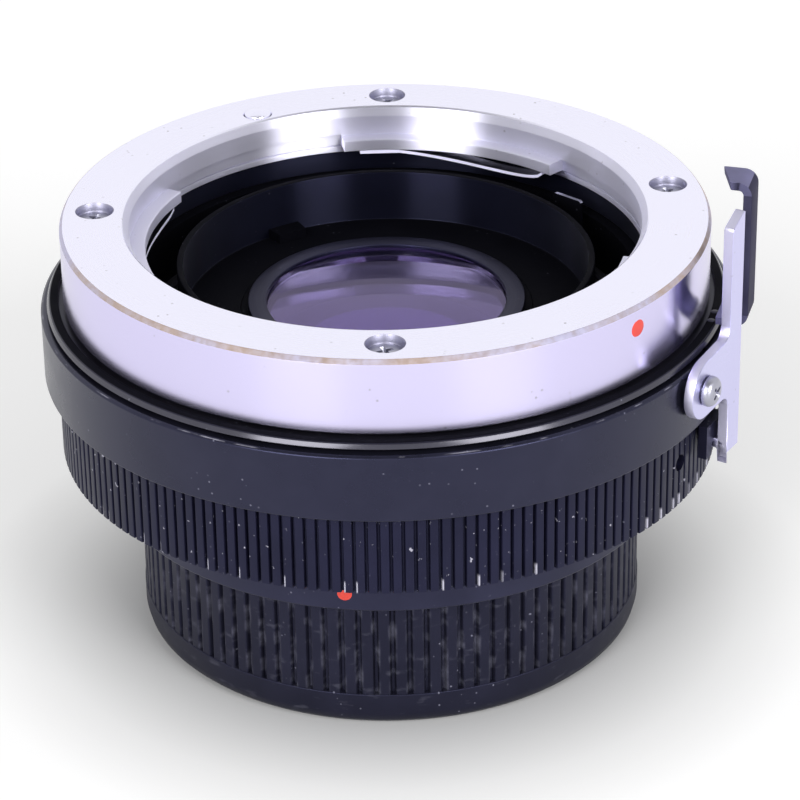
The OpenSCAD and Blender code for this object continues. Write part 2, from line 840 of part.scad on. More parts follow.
module release_lever() {
    color([0.72, 0.71, 0.76])
    lever_frame() {
        difference() {
            union() {
                translate([0, 0, lever_in])
                    linear_extrude(lever_t)
                        difference() {
                            union() {
                                circle(r = ear_r);
                                polygon([
                                    [-0.5, ear_r * 0.98], [strip_u, ear_r + 0.5], [strip_u, strip_up],
                                    [strip_u + strip_w, strip_up + 1.1], [strip_u + strip_w, -tail_down],
                                    [strip_u, -tail_down], [strip_u, 0.2 - ear_r], [0.1, -ear_r]
                                ]);
                            }
                            circle(r = pivot_r + run_gap);
                        }
                translate([strip_u, -tail_down, lever_in - foot_l])
                    cube([strip_w, lever_t, foot_l + 0.05]);
            }
            // the tail's outer lower corner, rounded by the bend
            translate([strip_u - 1, -tail_down, lever_out])
                rotate([0, 90, 0])
                    rotate([0, 0, 45])
                        cube([0.7, 0.7, 20], center = true);
        }
    }
}

module lock_arc() {
    color([0.07, 0.07, 0.08])
    union() {
        arc_tube(lock_in_r + run_gap, lock_out_r, z_lock, z_lock + lock_h, lock_from, lock_to);
        lever_frame() {
            translate([strip_u + 0.1, z_lock - lever_z, lock_out_r - 1])
                cube([strip_w + 0.2, lock_h, lock_head_out - lock_out_r + 1]);
            translate([strip_u - 0.35 - cheek_t, z_lock - 0.2 - lever_z, lock_head_in])
                cube([strip_w + 1 + 2 * cheek_t, lock_h + 0.4, lock_head_out - lock_head_in]);
            translate([strip_u - 0.35 - cheek_t, z_lock - 1.5 - lever_z, lock_head_in])
                cube([cheek_t, 2, lock_head_out - lock_head_in]);
            translate([strip_u + strip_w + 0.35, z_lock - 2.4 - lever_z, lock_head_in])
                cube([cheek_t + 0.3, 3, lock_head_out - lock_head_in]);
        }
        // the wedge that draws the pin down: a ramp under the arc, rising with the turn
        rotate([0, 0, pin_angle])
            translate([lock_in_r + 0.15, 0, z_lock])
                rotate([90, 0, 90])
                    linear_extrude(1.15)
                        polygon([
                            [finger_r + 0.12, 0.3], [finger_r + 0.12, 0], [0.02, 0], [-0.3, -0.12],
                            [-0.3 - pin_stroke, -0.12 - pin_stroke], [-0.9 - pin_stroke, -0.12 - pin_stroke],
                            [-0.9 - pin_stroke, 0.3]
                        ]);
    }
}

module lock_pin() {
    color([0.8, 0.8, 0.83])
    union() {
        at_polar(pin_pitch_r, pin_angle) {
            translate([0, 0, z_pin_shoulder])
                cylinder(r = pin_r, h = z_face - 0.1 - z_pin_shoulder);
            intersection() {
                translate([0, 0, z_face - 1])
                    cylinder(r = pin_r, h = 3);
                translate([0, 0, z_face + pin_dome_h - pin_dome])
                    sphere(r = pin_dome);
            }
            translate([0, 0, z_finger - finger_r - 0.2])
                cylinder(r = stem_r, h = z_pin_shoulder - z_finger + finger_r + 0.3);
        }
        radial_pin(finger_r, pin_pitch_r, lock_out_r - 0.25, z_finger, pin_angle);
    }
}

module lock_pin_spring() {
    color([0.75, 0.75, 0.78])
    at_polar(pin_pitch_r, pin_angle)
        translate([0, 0, z_spring_seat])
            coil(1.15, 0.2, z_pin_shoulder - z_spring_seat, 6);
}

module diaphragm_ring() {
    color([0.2, 0.2, 0.22])
    union() {
        tube(diaphragm_in_r, bore_r - run_gap, z_diaphragm, z_diaphragm + diaphragm_t);
        radial_block(tail_in_r, diaphragm_in_r + 0.5, tail_w, z_diaphragm, z_diaphragm + diaphragm_t,
            tail_angle);
        at_polar(peg_pitch_r, peg_angle)
            translate([0, 0, z_peg - 1.4])
                cylinder(r = peg_r, h = 3.4);
    }
}

module diaphragm_pusher() {
    color([0.7, 0.7, 0.74])
    radial_block(diaphragm_in_r + 0.2, diaphragm_in_r + 0.2 + pusher_t, pusher_w, z_diaphragm + diaphragm_t,
        z_lip - pusher_top, pusher_angle);
}

module diaphragm_tail() {
    color([0.7, 0.7, 0.74])
    radial_block(tail_in_r, tail_out_r, tail_w, z_collar - 3.2, z_diaphragm, tail_angle);
}

module diaphragm_spring() {
    chord = 2 * peg_pitch_r * sin((peg_angle - anchor_angle) / 2);
    mid = (anchor_angle + peg_angle) / 2;
    color([0.75, 0.75, 0.78])
    rotate([0, 0, mid])
        translate([peg_pitch_r * cos((peg_angle - anchor_angle) / 2), -chord / 2 + peg_r, z_peg - 0.95])
            rotate([-90, 0, 0])
                coil(0.55, 0.17, chord - 2 * peg_r, 12);
}

module rear_cap() {
    color([0.07, 0.07, 0.08])
    union() {
        difference() {
            union() {
                rotate_extrude()
                    polygon(concat(
                        [[0, 0]],
                        [for (i = [0 : 8]) [
                            cap_foot_r - cap_round + cap_round * sin(90 * i / 8),
                            cap_round - cap_round * cos(90 * i / 8)
                        ]],
                        [[cap_foot_r, cap_band], [0, cap_band]]
                    ));
                translate([0, 0, cap_band - 0.5])
                    linear_extrude(cap_h - cap_band + 0.5)
                        polygon(rib_outline(cap_ribs, cap_r, rib_depth, 0.5));
            }
            translate([0, 0, cap_floor])
                cylinder(r = cap_bore_r, h = cap_h);
        }
        for (k = [0 : 2])
            arc_tube(cap_claw_r, cap_bore_r + 0.3, z_rear_claw + rear_claw_t + 0.3, cap_h - 0.6,
                12 + 120 * k, 58 + 120 * k);
    }
}

barrel();
name_ring();
grip_ring();
grub_screws();
front_mount();
front_screws();
bayonet_springs();
front_index();
rear_collar();
rear_mount();
rear_screws();
rear_index();
light_baffle();
optic_cell();
cell_lock_ring();
front_retainer();
front_lens();
lens_spacer_a();
pair_lens_a();
pair_lens_b();
lens_spacer_b();
rear_lens();
release_screw();
spring_anchor();
snap_ring();
coupling_ring();
hook_lever();
coupling_rivets();
coupling_link();
release_lever();
lock_arc();
lock_pin();
lock_pin_spring();
diaphragm_ring();
diaphragm_pusher();
diaphragm_tail();
diaphragm_spring();
rear_cap();
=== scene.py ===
# %% [markdown]
# # A camera teleconverter, dressed for its portrait
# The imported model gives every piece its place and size. This lesson keeps that frame as it is, models the
# visible pieces again with finer edges, and gives each one the finish that a well-used lens accessory has.
# All lengths below are millimetres until a piece is finished; then its mesh is scaled to metres.

# %% Load the frame
import math

import bmesh
import bpy
from bmesh.types import BMEdge, BMFace, BMVert
from mathutils import Matrix, Vector


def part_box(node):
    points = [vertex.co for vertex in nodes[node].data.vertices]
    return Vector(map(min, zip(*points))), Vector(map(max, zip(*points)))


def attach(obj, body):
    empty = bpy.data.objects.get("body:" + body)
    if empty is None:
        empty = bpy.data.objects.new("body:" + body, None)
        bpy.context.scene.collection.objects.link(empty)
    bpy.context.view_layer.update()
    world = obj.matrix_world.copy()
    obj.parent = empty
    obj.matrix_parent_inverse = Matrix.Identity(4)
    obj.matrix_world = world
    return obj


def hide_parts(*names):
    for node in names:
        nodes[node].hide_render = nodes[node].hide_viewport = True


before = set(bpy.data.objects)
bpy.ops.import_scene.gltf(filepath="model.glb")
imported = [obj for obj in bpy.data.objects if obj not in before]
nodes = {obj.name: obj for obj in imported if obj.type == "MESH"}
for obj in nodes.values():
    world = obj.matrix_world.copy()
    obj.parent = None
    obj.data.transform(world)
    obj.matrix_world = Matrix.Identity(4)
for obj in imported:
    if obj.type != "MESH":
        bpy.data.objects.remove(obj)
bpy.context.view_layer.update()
MM = 0.001

# %% [markdown]
# ## Sizes
# Every ring of the barrel is round about the Z axis, so a node's box says most of what there is to know: its
# outer radius and its lowest and highest level. Reading them from the frame, and not typing them, keeps the
# dress on the model when the model changes. Only the widths inside the front mount are written down here.

# %% Read the levels and radii of the rings
FACE_W = 5.9
LEDGE_W = 0.45
LIP_W = 1.45
RECESS = 0.2


def ring_size(node):
    """Outer radius, lowest and highest level of a round node, in mm."""
    low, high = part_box(node)
    return high.x / MM, low.z / MM, high.z / MM


flange_r, z_flange, z_face = ring_size("front_mount")
name_r, z_name, z_name_top = ring_size("name_ring")
grip_r, z_grip, z_grip_top = ring_size("grip_ring")
collar_r, z_collar, z_collar_top = ring_size("rear_collar")
cap_r, _, z_cap_top = ring_size("rear_cap")
coupling_r, z_coupling, z_coupling_top = ring_size("coupling_ring")
baffle_r, z_baffle, z_baffle_top = ring_size("light_baffle")
retainer_r, z_retainer, z_retainer_top = ring_size("front_retainer")
register_r = flange_r - FACE_W
ledge_r = register_r - LEDGE_W
throat_r = ledge_r - LIP_W
claw_r = register_r + RECESS
print("flange radius %.2f, face level %.2f" % (flange_r, z_face))

# %% [markdown]
# ## Tools for turned pieces
# Most of this object came off a lathe, so most of the mesh comes from one tool as well: a flat outline is
# drawn beside the axis, its corners are rounded by a vertex bevel, and a spin carries it round. The rounding
# comes first, so that each edge has its own radius, as a turner breaks each edge by feel. A Screw modifier
# would turn the outline too, but a spin leaves a plain mesh that the next tool can cut.

# %% Lathe tool
TURNS = 256
SMALL_TURNS = 48
AXIS = (0, 0, 1)
ORIGIN = (0, 0, 0)


def weld(bm):
    """Merge doubled points and turn all faces outwards."""
    bmesh.ops.remove_doubles(bm, verts=bm.verts, dist=1e-4)
    bmesh.ops.recalc_face_normals(bm, faces=bm.faces)
    return bm


def round_corners(bm, corners, sizes, segments):
    """Round the corners of a flat outline, each by its own size; 0 leaves a corner sharp."""
    for size in sorted(set(sizes) - {0}):
        bmesh.ops.bevel(
            bm,
            geom=[vert for vert, own in zip(corners, sizes) if own == size],
            offset=size,
            offset_type="OFFSET",
            affect="VERTICES",
            segments=segments,
            profile=0.5,
            material=-1,
        )


def spin_round(bm, steps):
    """Carry the drawn lines once round the axis and close the seam."""
    bmesh.ops.spin(
        bm,
        geom=bm.verts[:] + bm.edges[:],
        cent=ORIGIN,
        axis=AXIS,
        angle=2 * math.pi,
        steps=steps,
        use_merge=True,
    )
    return weld(bm)


def lathe(outline, steps=TURNS):
    """Spin a closed outline of (radius, level, rounding) corners about the optical axis."""
    bm = bmesh.new()
    corners = [bm.verts.new((radius, 0, level)) for radius, level, size in outline]
    bm.faces.new(corners)
    round_corners(bm, corners, [size for radius, level, size in outline], 3)
    bmesh.ops.delete(bm, geom=bm.faces[:], context="FACES_ONLY")
    on_axis = [e for e in bm.edges if max(abs(v.co.x) for v in e.verts) < 1e-6]
    bmesh.ops.delete(bm, geom=on_axis, context="EDGES")
    return spin_round(bm, steps)


print("lathe with", TURNS, "steps round the axis")

# %% [markdown]
# ## Tools that place and cut
# Countersinks, slots and cross recesses are cut on the real pieces after turning. The Boolean modifier with
# the exact solver does the same, and taking its result at once leaves a plain mesh with nothing live on it.
# Where a piece has a part off the axis, it is made at the origin and a matrix carries it out along a radius.

# %% Placing tools
LIE_DOWN = Matrix.Rotation(math.radians(90), 4, "Y")


def about_axis(degrees):
    """Matrix that turns a shape about the optical axis."""
    return Matrix.Rotation(math.radians(degrees), 4, "Z")


def at_angle(radius, degrees, level):
    """Matrix that carries a shape from the origin out along a radius."""
    return about_axis(degrees) @ Matrix.Translation((radius, 0, level))


def put(bm, shape, place):
    """Add a moved copy of one bmesh to another."""
    mesh = bpy.data.meshes.new("copy")
    shape.to_mesh(mesh)
    mesh.transform(place)
    bm.from_mesh(mesh)
    bpy.data.meshes.remove(mesh)
    return bm


def close_holes(bm):
    """Close every open edge loop with a face."""
    bmesh.ops.holes_fill(bm, edges=[e for e in bm.edges if e.is_boundary], sides=0)


def arc_block(r_in, r_out, z_low, z_high, start, end):
    """A block bent round the axis, from one angle to another in degrees."""
    bm = bmesh.new()
    corners = [(r_in, z_low), (r_out, z_low), (r_out, z_high), (r_in, z_high)]
    loop = [bm.verts.new((r, 0, z)) for r, z in corners]
    for pair in zip(loop, loop[1:] + loop[:1]):
        bm.edges.new(pair)
    bmesh.ops.transform(bm, matrix=about_axis(start), verts=bm.verts)
    bmesh.ops.spin(
        bm,
        geom=bm.verts[:] + bm.edges[:],
        cent=ORIGIN,
        axis=AXIS,
        angle=math.radians(end - start),
        steps=max(2, round((end - start) * TURNS / 360)),
    )
    close_holes(bm)
    return weld(bm)


print("placing tools ready")

# %% Cutting tool


def loose_object(bm, name):
    """A bmesh as an object in the scene that is no piece yet."""
    mesh = bpy.data.meshes.new(name)
    bm.to_mesh(mesh)
    bm.free()
    thing = bpy.data.objects.new(name, mesh)
    bpy.context.scene.collection.objects.link(thing)
    return thing


def cut(bm, tool, operation="DIFFERENCE"):
    """Take the tool's shape from a bmesh, or join it; both are used up and a new bmesh comes back."""
    blank, cutter = loose_object(bm, "blank"), loose_object(tool, "cutter")
    step = blank.modifiers.new("cut", "BOOLEAN")
    step.object, step.operation, step.solver = cutter, operation, "EXACT"
    result = bmesh.new()
    result.from_object(blank, bpy.context.evaluated_depsgraph_get())
    for thing in (blank, cutter):
        mesh = thing.data
        bpy.data.objects.remove(thing)
        bpy.data.meshes.remove(mesh)
    return result


print("cutting tool ready")

# %% [markdown]
# ## Handing a piece over
# Each finished mesh goes the same way: it is scaled to metres where it lies, so its object stays at the
# origin, its round faces are smoothed and its edges kept crisp, it is hung under an empty for the body that
# carries it, and the nodes that it stands for are hidden.

# %% Finishing tool
CRISP = math.radians(38)


def finish_piece(bm, name, body, replaced, slot, *finishes):
    """Scale to metres, smooth what is round, and hand the piece to its body."""
    bmesh.ops.scale(bm, vec=(MM, MM, MM), verts=bm.verts)
    mesh = bpy.data.meshes.new(name)
    bm.to_mesh(mesh)
    bm.free()
    for finish in finishes:
        mesh.materials.append(finish)
    mesh.shade_smooth()
    mesh.set_sharp_from_angle(angle=CRISP)
    piece = bpy.data.objects.new(name, mesh)
    bpy.context.scene.collection.objects.link(piece)
    shading = piece.modifiers.new("even shading", "WEIGHTED_NORMAL")
    shading.keep_sharp = True
    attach(piece, body)
    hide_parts(*replaced)
    print("%s: %d faces, stands for %s" % (name, len(mesh.polygons), ", ".join(replaced)))


print("edges over %.0f degrees stay crisp" % math.degrees(CRISP))

# %% [markdown]
# ## Tools for finishes
# A finish starts from one shader and grows a few nodes. Object coordinates are used throughout, because
# they stay with the piece in every pose. Turned metal and ribbed rings repeat round the axis, so a second
# tool gives the radius, the turn and the level of each point of a surface, in mm and in turns.

# %% Node tools


def new_finish(name, color, roughness, metallic=0.0):
    """A material with its shader set; returns the material, its node tree and the shader."""
    material = bpy.data.materials.new(name)
    material.use_nodes = True
    shader = material.node_tree.nodes["Principled BSDF"]
    shader.inputs["Base Color"].default_value = (*color, 1)
    shader.inputs["Roughness"].default_value = roughness
    shader.inputs["Metallic"].default_value = metallic
    return material, material.node_tree, shader


def add(tree, kind, inputs, **settings):
    """Add a node; an input that is a socket is linked, and a number is set."""
    node = tree.nodes.new(kind)
    for key, value in settings.items():
        setattr(node, key, value)
    for key, value in inputs.items():
        if isinstance(value, bpy.types.NodeSocket):
            tree.links.new(value, node.inputs[key])
        else:
            node.inputs[key].default_value = value
    return node


def sums(tree, operation, a, b=0.0):
    """One step of arithmetic."""
    return add(tree, "ShaderNodeMath", {0: a, 1: b}, operation=operation).outputs[0]


def point(tree, x, y=0.0, z=0.0):
    return add(tree, "ShaderNodeCombineXYZ", {0: x, 1: y, 2: z}).outputs[0]


def object_point(tree):
    return add(tree, "ShaderNodeTexCoord", {}).outputs["Object"]


def round_the_axis(tree):
    """Radius in mm, turn from 0 to 1, and level in mm."""
    x, y, z = add(tree, "ShaderNodeSeparateXYZ", {0: object_point(tree)}).outputs
    radius = sums(tree, "SQRT", sums(tree, "ADD", sums(tree, "MULTIPLY", x, x), sums(tree, "MULTIPLY", y, y)))
    turn = sums(tree, "ADD", sums(tree, "DIVIDE", sums(tree, "ARCTAN2", y, x), 2 * math.pi), 0.5)
    return sums(tree, "DIVIDE", radius, MM), turn, sums(tree, "DIVIDE", z, MM)


print("node tools ready")

# %% Pattern tools
NOISE_LOW, NOISE_HIGH = 0.3, 0.7


def noise(tree, where, scale, detail=3.0):
    """Soft noise from 0 to 1; scale is in features per unit of the coordinates."""
    return add(tree, "ShaderNodeTexNoise", {"Vector": where, "Scale": scale, "Detail": detail}).outputs["Fac"]


def ramp(tree, value, low, high, at_low=0.0, at_high=1.0):
    """Spread value between low and high over the range at_low to at_high."""
    inputs = {"Value": value, "From Min": low, "From Max": high, "To Min": at_low, "To Max": at_high}
    return add(tree, "ShaderNodeMapRange", inputs).outputs["Result"]


def spread(tree, value, at_low, at_high):
    """Spread noise, which seldom leaves its middle range, over the range at_low to at_high."""
    return ramp(tree, value, NOISE_LOW, NOISE_HIGH, at_low, at_high)


def band(tree, value, low, high, soft):
    """1 between low and high, with soft ends."""
    rise = ramp(tree, value, low - soft, low + soft)
    fall = ramp(tree, value, high - soft, high + soft, 1.0, 0.0)
    return sums(tree, "MULTIPLY", rise, fall)


def mix_color(tree, share, color_a, color_b):
    """Blend two colours; each is a socket or an (r, g, b)."""
    node = tree.nodes.new("ShaderNodeMix")
    node.data_type = "RGBA"
    tree.links.new(share, node.inputs[0])
    for socket, color in ((node.inputs[6], color_a), (node.inputs[7], color_b)):
        if isinstance(color, bpy.types.NodeSocket):
            tree.links.new(color, socket)
        else:
            socket.default_value = (*color, 1)
    return node.outputs[2]


def bump(tree, shader, height, strength, distance):
    """Small relief in mm on the shader's normal."""
    node = add(tree, "ShaderNodeBump", {"Height": height, "Strength": strength, "Distance": distance * MM})
    tree.links.new(node.outputs[0], shader.inputs["Normal"])


def specks(tree, spacing, size):
    """A scatter of small dots, 1 inside a dot; spacing and size are in mm."""
    where = object_point(tree)
    cell = add(tree, "ShaderNodeTexVoronoi", {"Vector": where, "Scale": 1 / (spacing * MM)})
    keep = ramp(tree, noise(tree, where, 0.21 / (spacing * MM)), 0.52, 0.62)
    dot = ramp(tree, cell.outputs["Distance"], 0.4 * size / spacing, size / spacing, 1.0, 0.0)
    return sums(tree, "MULTIPLY", keep, dot)


print("pattern tools ready")

# %% [markdown]
# ## Bright metal
# The front mount is chrome on brass: its face and bore keep the circular marks of the turning tool, and its
# outer wall was polished. Fine noise in radius and level only, with none along the turn, draws such marks.
# Anisotropy turned by a quarter smears a reflection across them, which gives the bright bars in the bore.

# %% Bright metal tool
CHROME = (0.87, 0.86, 1.0)
GRIME = (0.22, 0.2, 0.22)
MARKS_PER_MM = 7.0
PATCHES_PER_M = 160.0
MARK_DEPTH = 0.01


def smear_across_turning(tree, shader, amount):
    """Stretch reflections up and down a turned wall, across the marks of the tool."""
    shader.inputs["Anisotropic"].default_value = amount
    shader.inputs["Anisotropic Rotation"].default_value = 0.25
    grain = add(tree, "ShaderNodeTangent", {}, direction_type="RADIAL", axis="Z")
    tree.links.new(grain.outputs[0], shader.inputs["Tangent"])


def bright_metal(name, color, rough, relief, dirt, smear=0.0):
    """Metal with turning marks and grime; rough holds the lowest and the highest roughness."""
    material, tree, shader = new_finish(name, color, rough[0], 1.0)
    radius, _, level = round_the_axis(tree)
    marks = noise(tree, point(tree, radius, level), MARKS_PER_MM, 5.0)
    patches = noise(tree, object_point(tree), PATCHES_PER_M, 4.0)
    mixed = sums(tree, "ADD", sums(tree, "MULTIPLY", marks, 0.6), sums(tree, "MULTIPLY", patches, 0.4))
    tree.links.new(spread(tree, mixed, *rough), shader.inputs["Roughness"])
    spots = sums(tree, "MULTIPLY", specks(tree, 1.1, 0.16), dirt)
    tree.links.new(mix_color(tree, spots, color, GRIME), shader.inputs["Base Color"])
    bump(tree, shader, marks, relief, MARK_DEPTH)
    if smear:
        smear_across_turning(tree, shader, smear)
    return material


turned_chrome = bright_metal("turned_chrome", CHROME, (0.2, 0.32), 0.25, 0.6, smear=0.5)
bored_chrome = bright_metal("bored_chrome", (0.78, 0.77, 0.91), (0.37, 0.45), 0.3, 0.4, smear=1.0)
# The polished wall's chrome is darker in colour than the face's: painted shade on the side wall.
shaded_wall_chrome = bright_metal("shaded_wall_chrome", (0.645, 0.605, 0.84), (0.17, 0.22), 0.06, 0.5, smear=0.92)
print("chrome, as turned, bored and polished")

# %% Steel and other metals
plated_steel = bright_metal("plated_steel", (0.6, 0.585, 0.83), (0.26, 0.38), 0.05, 0.3)
sheared_steel = bright_metal("sheared_steel", (0.6, 0.585, 0.73), (0.42, 0.6), 1.0, 0.6)
screw_steel = bright_metal("screw_steel", (0.4, 0.4, 0.47), (0.3, 0.42), 0.1, 0.3)
# The countersinks' walls take a darker metal than the chrome they are cut in: painted shade in the recesses.
shaded_sink_steel = bright_metal("shaded_sink_steel", (0.33, 0.325, 0.42), (0.4, 0.52), 0.1, 0.3)
spring_steel = bright_metal("spring_steel", (0.82, 0.82, 0.86), (0.14, 0.26), 0.15, 0.2)
dark_steel = bright_metal("dark_steel", (0.12, 0.12, 0.14), (0.3, 0.5), 0.2, 0.2)
grey_metal = bright_metal("grey_metal", (0.024, 0.024, 0.047), (0.34, 0.46), 0.3, 0.2, smear=0.3)
brass = bright_metal("plain_brass", (0.62, 0.47, 0.22), (0.25, 0.4), 0.2, 0.3)
print("six steels, grey metal and brass")

# %% [markdown]
# ## Two metals that change across a piece
# The flange's edge meets every bag, so its chrome is dull there and rubbed through to a brownish layer in
# patches, and it is darker in colour than the face, which paints shade on the bevel. The leaf springs under
# the lips are bright on their sheared edges, and their flats are painted dark, as painted shade for the dark
# recess that they mirror. The way a face points, taken in the piece's own coordinates, tells flat from edge.

# %% Worn bevel with painted shade, and leaf steel with painted shade on its flats
# The dulled chrome colour is darker than the face's: part wear, part painted shade on the bevel.
SHADED_DULL_CHROME = (0.52, 0.505, 0.62)
UNDERLAYER = (0.5, 0.42, 0.39)
LEAF_FLAT_SHADE = (0.1, 0.1, 0.12)


def bevel_wear_and_shade_finish():
    """Dulled chrome, darker in colour as painted shade, rubbed through to its underlayer in patches."""
    material, tree, shader = new_finish("bevel_wear_and_shade", CHROME, 0.35, 1.0)
    patches = noise(tree, object_point(tree), 130.0, 6.0)
    fine = noise(tree, object_point(tree), 1400.0, 4.0)
    share = ramp(tree, sums(tree, "ADD", patches, sums(tree, "MULTIPLY", fine, 0.35)), 0.55, 0.8)
    tree.links.new(mix_color(tree, share, SHADED_DULL_CHROME, UNDERLAYER), shader.inputs["Base Color"])
    tree.links.new(spread(tree, fine, 0.82, 0.98), shader.inputs["Roughness"])
    bump(tree, shader, fine, 0.2, 0.02)
    return material


def shaded_spring_leaf_finish():
    """Painted shade on the flats of a leaf, for the dark recess they mirror, and bright on its sheared edge.
    """
    material, tree, shader = new_finish("shaded_spring_leaf", CHROME, 0.25, 1.0)
    facing = add(tree, "ShaderNodeTexCoord", {}).outputs["Normal"]
    up = sums(tree, "ABSOLUTE", add(tree, "ShaderNodeSeparateXYZ", {0: facing}).outputs[2])
    # Flats get a dark base colour: painted shade standing in for the dark recess they reflect.
    flat = ramp(tree, up, 0.3, 0.7)
    tree.links.new(mix_color(tree, flat, CHROME, LEAF_FLAT_SHADE), shader.inputs["Base Color"])
    grain = noise(tree, object_point(tree), 900.0, 4.0)
    soft = sums(tree, "MULTIPLY", ramp(tree, up, 0.3, 0.7, 2.2, 0.6), spread(tree, grain, 0.3, 0.4))
    tree.links.new(soft, shader.inputs["Roughness"])
    return material


bevel_wear_and_shade = bevel_wear_and_shade_finish()
shaded_spring_leaf = shaded_spring_leaf_finish()
print("worn bevel and leaf steel ready")

# %% [markdown]
# ## Black finishes
# Many blacks meet on this object, and each is told from the next by its gloss: enamel on the name ring, satin
# anodising on ribs and collar, dusty moulded plastic on the cap, a bright facet on the coupling ring, oxide
# on the hook with a painted highlight on its upper faces and painted shade on its outer face, and dull paint
# inside.
# Bare metal shows where hands and bags rub, on the upper edge of the name ring and at the lower ends of the
# ribs, and there it also stands as a painted highlight on those edges. One tool makes them all, and a mask
# says where one is worn.

# %% Black tool
BARE = (0.5, 0.49, 0.58)
DUST = (0.2, 0.2, 0.26)
COOL = (0.52, 0.54, 1.0, 1)
PALE_COOL = (0.9, 0.88, 1, 1)
GRAINS_PER_M = 9000.0
MOTTLES_PER_M = 220.0


def black_finish(
    name, color, rough, grain, dust, gloss=0.5, tint=COOL, smear=0.0, wear=None, wear_color=BARE
):
    """Bluish black with fine grain, dust specks and, where a mask function is given, worn patches."""
    material, tree, shader = new_finish(name, color, rough[0])
    shader.inputs["Specular IOR Level"].default_value = gloss
    shader.inputs["Specular Tint"].default_value = tint
    where = object_point(tree)
    fine = noise(tree, where, GRAINS_PER_M, 2.0)
    broad = noise(tree, where, MOTTLES_PER_M, 4.0)
    mottled = mix_color(tree, ramp(tree, broad, 0.35, 0.7), color, tuple(1.5 * c for c in color))
    spots = sums(tree, "MULTIPLY", specks(tree, 0.9, 0.12), dust)
    shade = mix_color(tree, spots, mottled, DUST)
    if wear:
        shade = mix_color(tree, wear(tree), shade, wear_color)
    tree.links.new(shade, shader.inputs["Base Color"])
    tree.links.new(spread(tree, broad, *rough), shader.inputs["Roughness"])
    bump(tree, shader, fine, grain, MARK_DEPTH)
    if smear:
        smear_across_turning(tree, shader, smear)
    return material


black_anodised = black_finish("black_anodised", (0.008, 0.008, 0.016), (0.28, 0.36), 0.1, 0.7, smear=0.6)
satin_black = black_finish("satin_black", (0.01, 0.0095, 0.014), (0.3, 0.36), 0.08, 0.6, 0.25, smear=0.3)
gloss_black = black_finish(
    "gloss_black", (0.008, 0.008, 0.016), (0.2, 0.26), 0.04, 0.5, 0.95, tint=PALE_COOL, smear=0.7
)
# The hook's oxides: the lighter one paints a highlight on its upper faces, the darkest paints shade on its
# outer face and is also the coupling link's plain colour.
lit_top_oxide = black_finish("lit_top_oxide", (0.14, 0.135, 0.235), (0.4, 0.55), 0.12, 0.4, 0.1)
black_oxide = black_finish("black_oxide", (0.075, 0.072, 0.13), (0.45, 0.6), 0.12, 0.4, 0.1)
dark_oxide_and_shade = black_finish("dark_oxide_and_shade", (0.035, 0.033, 0.058), (0.5, 0.65), 0.12, 0.4, 0.03)
matt_black = black_finish("matt_black", (0.0016, 0.0018, 0.0045), (0.31, 0.36), 0.15, 0.2, 0.34, smear=1.0)
dead_black = black_finish("dead_black", (0.0018, 0.0018, 0.0026), (0.6, 0.75), 0.3, 0.2, 0.05)
print("plain blacks ready")

# %% Worn blacks
GRIP_RIBS = 180
CAP_RIBS = 96
CAP_BAND = 3.4


def name_edge_wear_and_highlight(tree):
    """Broken bright line on the upper edge of the name ring: rubbed bare metal that also paints the highlight
    there.
    """
    _, _, level = round_the_axis(tree)
    # Bare colour along the top edge: wear, and also a painted highlight on that edge.
    edge = band(tree, level, z_name_top - 0.12, z_name_top - 0.06, 0.02)
    broken = ramp(tree, noise(tree, object_point(tree), 420.0, 6.0), 0.55, 0.7, 0.0, 0.5)
    return sums(tree, "MULTIPLY", edge, broken)


def rib_share(tree, turn, count):
    """Where a point lies across its rib: 0 and 1 at the grooves, 0.5 on the land."""
    return sums(tree, "FRACT", sums(tree, "MULTIPLY", turn, count))


def grip_wear_and_glints(tree):
    """Rubbed lower ends on one side of some ribs, also painting the glints there, and a few scratches."""
    radius, turn, level = round_the_axis(tree)
    # One side of a groove's lower end is bare metal: wear, and also a painted glint.
    side = band(tree, rib_share(tree, turn, GRIP_RIBS), 0.1, 0.24, 0.04)
    low_end = band(tree, level, z_grip + 0.05, z_grip + 1.1, 0.15)
    rib = sums(tree, "FLOOR", sums(tree, "MULTIPLY", turn, GRIP_RIBS))
    chosen = ramp(tree, noise(tree, point(tree, rib), 2.7, 0.0), 0.5, 0.56)
    rubbed = sums(tree, "MULTIPLY", sums(tree, "MULTIPLY", side, low_end), chosen)
    along = point(tree, radius, sums(tree, "MULTIPLY", turn, 190.0), level)
    scratch = ramp(tree, noise(tree, along, 1.9, 8.0), 0.69, 0.73)
    return sums(tree, "MAXIMUM", rubbed, sums(tree, "MULTIPLY", scratch, 0.7))


def cap_dust(tree):
    """Streaks of dust in the grooves above the cap's plain band, and scuffs."""
    _, turn, level = round_the_axis(tree)
    off_land = sums(tree, "ABSOLUTE", sums(tree, "SUBTRACT", rib_share(tree, turn, CAP_RIBS), 0.5))
    groove = ramp(tree, off_land, 0.2, 0.34)
    up_the_rib = point(tree, sums(tree, "MULTIPLY", turn, CAP_RIBS), sums(tree, "MULTIPLY", level, 0.35))
    streak = ramp(tree, noise(tree, up_the_rib, 1.3, 6.0), 0.5, 0.72)
    ribbed = ramp(tree, level, CAP_BAND - 0.1, CAP_BAND + 0.2)
    all_round = point(tree, sums(tree, "MULTIPLY", turn, 60.0), level)
    scuff = ramp(tree, noise(tree, all_round, 1.1, 8.0), 0.6, 0.75, 0.0, 0.4)
    dusty = sums(tree, "MULTIPLY", sums(tree, "MULTIPLY", groove, streak), ribbed)
    return sums(tree, "MULTIPLY", sums(tree, "MAXIMUM", dusty, scuff), 0.4)


